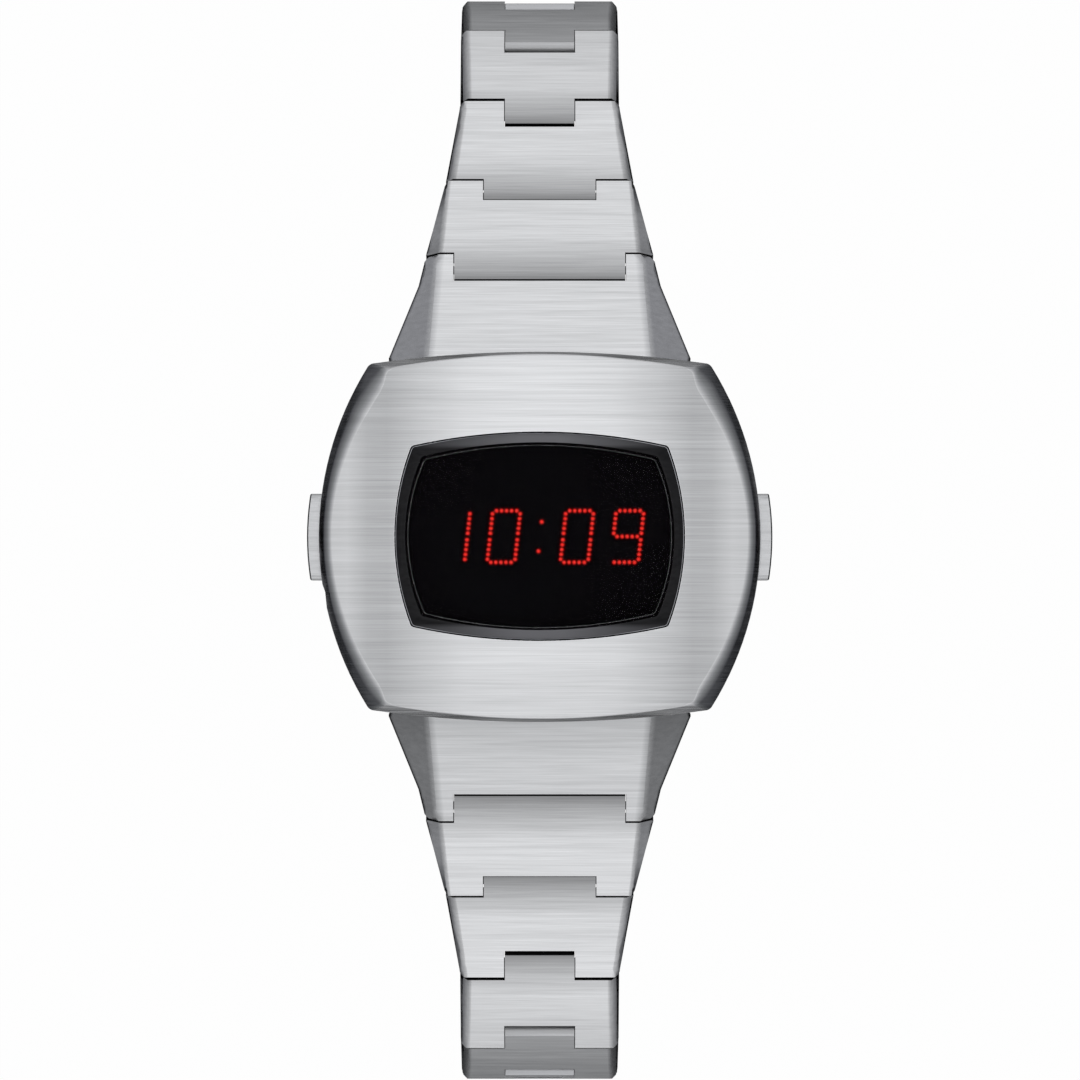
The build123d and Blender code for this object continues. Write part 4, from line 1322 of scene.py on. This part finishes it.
@dataclass
class Link:
    """Where one link lies: its head pin, its slope, and what its faces are."""

    head: Vector                # the middle of its head pin, in millimetres
    along: Vector               # the direction away from the case
    out: Vector                 # the direction that its face looks
    soft: float                 # how far the light takes, each side, to turn from top to facet
    near: float = 0.0           # its case-side end, measured along it from the head pin
    ear_half: float = 0.0       # half the width over its ears
    upright: float = 0.93       # a face that leans this far towards 3 or 9 o'clock is a side
    snap: float = 0.002         # a point this near to a strip's edge counts as on it
    turns: dict[int, tuple[Vector, Vector]] = field(default_factory=dict)   # the facet edges' planes

    def measure(self, mesh: bpy.types.Mesh) -> None:
        """Reads the near end and the width over the ears.

        Args:
            mesh: the link's CAD mesh, in metres.
        """
        points = [v.co / MM - self.head for v in mesh.vertices]
        top = max(p.dot(self.out) for p in points)
        far = max(p.dot(self.along) for p in points)
        self.near = min(p.dot(self.along) for p in points if p.dot(self.out) > 0.55 * top)
        self.ear_half = max(abs(p.x) for p in points if p.dot(self.along) > 0.8 * far)

    def reach(self, point: Vector) -> float:
        """How far a point is from the link's case-side end."""
        return (point - self.head).dot(self.along) - self.near

    def facet(self, point: Vector) -> float:
        """How far a point is on the way from the top to the facet beside it.

        Args:
            point: a point of the link, in millimetres.

        Returns:
            0 on the top, 1 on the facet.
        """
        side = 1 if point.x > 0 else -1
        if side not in self.turns:
            return 0.0
        place, away = self.turns[side]
        return min(max(0.5 + (point - place).dot(away) / (2 * self.soft), 0.0), 1.0)

    def steep(self) -> bool:
        """True for a link so steep that its case-side end shows from the front."""
        return self.out.z < 0.6

    def is_cheek(self, normal: Vector, centre: Vector) -> bool:
        """True for the sides of the tongue and of the recess."""
        return abs(normal.x) > 0.9 and abs(centre.x) < 0.94 * self.ear_half

    def is_inside(self, normal: Vector, centre: Vector) -> bool:
        """True for a face that only looks into a gap between links."""
        away = normal.dot(self.along)
        return self.is_cheek(normal, centre) or away > 0.5 or (away < -0.5 and not self.steep())

    def is_side(self, normal: Vector, centre: Vector) -> bool:
        """True for the link's outer sides."""
        return abs(normal.x) > self.upright

    def is_back(self, normal: Vector, centre: Vector) -> bool:
        """True for the faces on the wearer's side."""
        return normal.dot(self.out) < -0.3

    def is_top(self, face: Face) -> bool:
        """True for the brushed face that looks away from the wearer."""
        return abs(face.normal.x) < 0.07 and face.normal.dot(self.out) > 0.8

    def is_facet(self, face: Face) -> bool:
        """True for the slanting faces at 3 and 9 o'clock."""
        return 0.2 < abs(face.normal.x) < self.upright and face.normal.dot(self.out) > 0.2

    def turns_over(self, edge: Edge) -> bool:
        """True for the edge between the brushed face and a facet."""
        first, second = edge.link_faces
        return any(self.is_top(a) and self.is_facet(b) for a, b in ((first, second), (second, first)))

    def is_outline(self, edge: Edge) -> bool:
        """Tells the edge that draws a link's dark outline, which the facets' painted shade darkens.

        Args:
            edge: an edge of the link.

        Returns:
            True for the edge between a facet and the outer side.
        """
        first, second = edge.link_faces
        pairs = ((first, second), (second, first))
        return any(self.is_facet(a) and abs(b.normal.x) > self.upright for a, b in pairs)

    def is_near_end(self, edge: Edge) -> bool:
        """True for the edge between a steep link's face and its case-side end."""
        away = min(face.normal.dot(self.along) for face in edge.link_faces)
        return self.steep() and away < -0.5 and any(f.normal.dot(self.out) > 0.8 for f in edge.link_faces)

    def is_near_lip(self, edge: Edge) -> bool:
        """Tells the edges of the tongue and the shoulders, which lie in the neighbour's shade.

        Args:
            edge: an edge of the link.

        Returns:
            True for such an edge, unless the link is steep.
        """
        if self.steep() or edge.calc_face_angle(0.0) <= 0.5:
            return False
        for face in edge.link_faces:
            centre = face.calc_center_median()
            cheek = self.is_cheek(face.normal, centre) and face.normal.x * centre.x > 0
            if cheek or face.normal.dot(self.along) < -0.5:
                return True
        return False

    def soften(self, made: Mesh) -> None:
        """Lays narrow strips along both facet edges, over which the light turns from face to facet.

        Args:
            made: the link's mesh in millimetres.
        """
        for side in (-1, 1):
            edges = [e for e in made.edges if len(e.link_faces) == 2 and self.turns_over(e)]
            points = [v.co.copy() for e in edges for v in e.verts if v.co.x * side > 0]
            if not points:
                continue
            points.sort(key=lambda p: p.dot(self.along))
            away = (points[-1] - points[0]).normalized().cross(self.out)
            away = away if away.x * side > 0 else -away
            self.turns[side] = (points[0], away)
            for shift in (-self.soft, self.soft):
                facets = [f for f in made.faces if self.is_facet(f) and f.normal.x * side > 0]
                faces = [*facets, *[f for f in made.faces if self.is_top(f)]]
                geom = list({item for f in faces for item in (f, *f.edges, *f.verts)})
                place = points[0] + away * shift
                bmesh.ops.bisect_plane(made, geom=geom, dist=self.snap, plane_co=place, plane_no=away)
                made.normal_update()


@dataclass
class Bracelet:
    """One half of the link bracelet, from the case outwards."""

    bench: Bench
    half: str
    slopes: tuple[float, ...]       # how many degrees each link falls away from the case
    soft: tuple[float, ...] = (0.75, 0.36, 0.42)    # how far each link's facet edge is softened, in its shading and its painted shade
    soft_rest: float = 0.45
    ease: float = 0.1
    outline_ease: float = 0.34
    flare_ease: float = 0.42        # the end link's outline
    near_ease: float = 0.6
    pin_ease: float = 0.04
    first_steep: int = 4            # the link that turns down; those after it are seen edge on

    def middle(self, node: str) -> Vector:
        """The middle of a CAD node's box, in millimetres."""
        low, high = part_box(node)
        return (Vector(low) + Vector(high)) / (2 * MM)

    def link(self, i: int) -> Link:
        """Where a link lies.

        Args:
            i: its place in the half, 0 for the end link.

        Returns:
            The link, not measured yet.
        """
        lean = math.radians(self.slopes[i])
        side = 1 if self.half == "upper" else -1
        head = self.middle(f"{self.half}_pin_{i}" if i else self.half + "_end_spring_bar")
        along = Vector((0, side * math.cos(lean), -math.sin(lean)))
        out = Vector((0, side * math.sin(lean), math.cos(lean)))
        return Link(head, along, out, self.soft[i] if i < len(self.soft) else self.soft_rest)

    def face(self, i: int, link: Link) -> Steel:
        """The finish of a link's brushed face; steep links and the lower end link get painted darker.

        Args:
            i: its place in the half, 0 for the end link.
            link: where it lies.

        Returns:
            The finish for its place and slope.
        """
        if i == 0:
            return END_LINK_FACE if self.half == "upper" else LOWER_END_LINK_FACE
        if link.steep():
            return STEEP_LINK_FACE if i == self.first_steep else EDGE_ON_LINK_FACE
        return LINK_FACE

    def is_pin_end(self, normal: Vector, centre: Vector) -> bool:
        """True for the polished end of a pin, which shows in the bracelet's side."""
        return abs(normal.x) > 0.7

    def build(self) -> None:
        """Makes every link, pin and spring bar of this half."""
        for i in range(len(self.slopes)):
            node = f"{self.half}_link_{i + 1}" if i else self.half + "_end_link"
            link = self.link(i)
            link.measure(self.bench.data(node))
            face = self.face(i, link)
            outline = self.outline_ease if i else self.flare_ease
            Dressed(
                node,
                node,
                "brushed_link",
                face,
                WORN_HIGHLIGHT_EDGE,
                self.ease,
                # Painted shade: the faces inside the gaps are almost black
                rules=[(link.is_inside, GAP_SHADE_STEEL), (link.is_side, LINK_SIDE), (link.is_back, LINK_BACK)],
                prepare=link.soften,
                kept=link.turns_over,
                roundings=[
                    Rounding(link.is_near_end, self.near_ease, 5),
                    Rounding(link.is_outline, outline, 4, face, held=False),
                    # Painted shade on the tongue's and shoulders' edges, in the neighbour's shade
                    Rounding(link.is_near_lip, self.ease, 2, PAINTED_SHADE_EDGE),
                ],
                marks={REACH: link.reach, FACET: link.facet},
            ).build(self.bench)
            pin = f"{self.half}_pin_{i + 1}"
            if self.bench.has(pin):
                # Painted shade: a pin is almost black where it shows through the gaps, with bright ends
                ends = [(self.is_pin_end, TURNED_PIN)]
                Dressed(pin, node, "steel_pin", GAP_SHADE_STEEL, None, self.pin_ease, rules=ends).build(self.bench)
        bar = self.half + "_end_spring_bar"
        Dressed(bar, "case", "steel_pin", TURNED_PIN, None, self.pin_ease).build(self.bench)


@dataclass
class Clasp:
    """The folding clasp: three blades, two hinge pins and the spring bar."""

    bench: Bench
    ease: float = 0.07

    def build(self) -> None:
        """Makes every piece of the clasp."""
        for node, body, slot, finish, edge in (
            ("clasp_inner_blade", "clasp_inner", "brushed_link", PRESSED_BLADE, WORN_HIGHLIGHT_EDGE),
            ("clasp_middle_blade", "clasp_middle", "brushed_link", PRESSED_BLADE, WORN_HIGHLIGHT_EDGE),
            ("clasp_cover", "clasp_cover", "brushed_link", BACK_PLATE, WORN_HIGHLIGHT_EDGE),
            ("clasp_fold_pin", "clasp_inner", "steel_pin", TURNED_PIN, None),
            ("clasp_cover_pin", "clasp_cover", "steel_pin", TURNED_PIN, None),
            ("clasp_spring_bar", "clasp_cover", "steel_pin", TURNED_PIN, None),
        ):
            Dressed(node, body, slot, finish, edge, self.ease).build(self.bench)


@dataclass(frozen=True)
class Lamp:
    """One soft lamp that faces the watch, with its place and size in millimetres."""

    name: str
    place: tuple[float, float, float]
    width: float                # across the watch
    height: float               # along the bracelet
    glow: float                 # what its face adds to the white room behind it, which is 1

    def build(self) -> None:
        """Hangs the lamp."""
        data = bpy.data.lights.new(self.name, "AREA")
        data.shape = "RECTANGLE"
        data.size, data.size_y = self.width * MM, self.height * MM
        data.energy = self.glow * math.pi * data.size * data.size_y
        lamp = bpy.data.objects.new(self.name, data)
        bpy.context.scene.collection.objects.link(lamp)
        lamp.location = Vector(self.place) * MM
        lamp.rotation_euler = (-Vector(self.place)).to_track_quat("-Z", "Y").to_euler()
        lamp.visible_camera = False


@dataclass
class Studio:
    """A pale floor, a white room, soft lamps and the camera."""

    bench: Bench
    floor_level: float = -92.0      # below the clasp where it hangs open
    floor_half: float = 3000.0
    camera_place: tuple[float, float, float] = (0.03, -9.0, 612.9)
    camera_aim: tuple[float, float, float] = (0.03, -0.36, 12.9)
    lens: float = 213.0
    sensor: float = 36.0
    lamps: tuple[Lamp, ...] = (
        Lamp("overhead_lamp", (0, 200, 760), 210, 780, 0.66),
        Lamp("left_lamp", (-293, 0, 640), 230, 620, 0.47),
        Lamp("right_lamp", (293, 0, 640), 230, 620, 0.42),
        Lamp("upper_lamp", (0, 720, 400), 500, 330, 0.55),
        Lamp("lower_lamp", (0, -660, 433), 500, 500, 0.6),
    )
    room_tone: str = "#FBFCFF"
    room_light: float = 0.62

    def room(self) -> None:
        """Makes the world: white to look at, softer as a light."""
        world = bpy.data.worlds.new("white_room")
        world.use_nodes = True
        tree = world.node_tree
        tree.nodes.clear()
        light = {"Color": linear(self.room_tone), "Strength": self.room_light}
        soft = add_node(tree, "Background", light).outputs[0]
        white = add_node(tree, "Background", {"Color": linear("#FFFFFF"), "Strength": 1.0}).outputs[0]
        mix = add_node(tree, "MixShader", (seen_directly(tree), soft, white))
        add_node(tree, "OutputWorld", {"Surface": mix.outputs[0]})
        bpy.context.scene.world = world

    def floor(self) -> None:
        """Lays the paper that keeps the watch's shadow."""
        half, level = self.floor_half * MM, self.floor_level * MM
        made = bmesh.new()
        corners = ((-half, -half), (half, -half), (half, half), (-half, half))
        made.faces.new([made.verts.new((x, y, level)) for x, y in corners])
        self.bench.stand("floor", made, [WhitePaper()])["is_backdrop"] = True

    def camera(self) -> None:
        """Sets the camera at the photograph's angle."""
        data = bpy.data.cameras.new("camera")
        data.lens, data.sensor_width = self.lens, self.sensor
        data.clip_start, data.clip_end = 0.01, 20.0
        camera = bpy.data.objects.new("camera", data)
        bpy.context.scene.collection.objects.link(camera)
        camera.location = Vector(self.camera_place) * MM
        aim = Vector(self.camera_aim) - Vector(self.camera_place)
        camera.rotation_euler = aim.to_track_quat("-Z", "Y").to_euler()
        bpy.context.scene.camera = camera

    def build(self) -> None:
        """Makes the whole studio."""
        self.room()
        self.floor()
        for lamp in self.lamps:
            lamp.build()
        self.camera()
        bpy.context.scene.view_settings.view_transform = "Standard"
        LOG.info("studio with %d lamps", len(self.lamps))


# How many degrees each link falls away from the case, as in the CAD source
UPPER_SLOPES = (16, 22, 23, 33, 64, 88, 90)
LOWER_SLOPES = (16, 22, 22, 35, 65, 88)


def corners() -> list[list[float]]:
    """The shown object's box now, as plain lists in metres."""
    return [list(corner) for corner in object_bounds()]


def main() -> None:
    logging.basicConfig(level=logging.INFO, format="%(message)s")
    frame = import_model()
    bench = Bench(frame)
    Case(bench).build()
    Display(bench).build()
    Module(bench).build()
    Pushers(bench).build()
    Bracelet(bench, "upper", UPPER_SLOPES).build()
    Bracelet(bench, "lower", LOWER_SLOPES).build()
    Clasp(bench).build()
    Studio(bench).build()


if __name__ == "__main__":
    main()
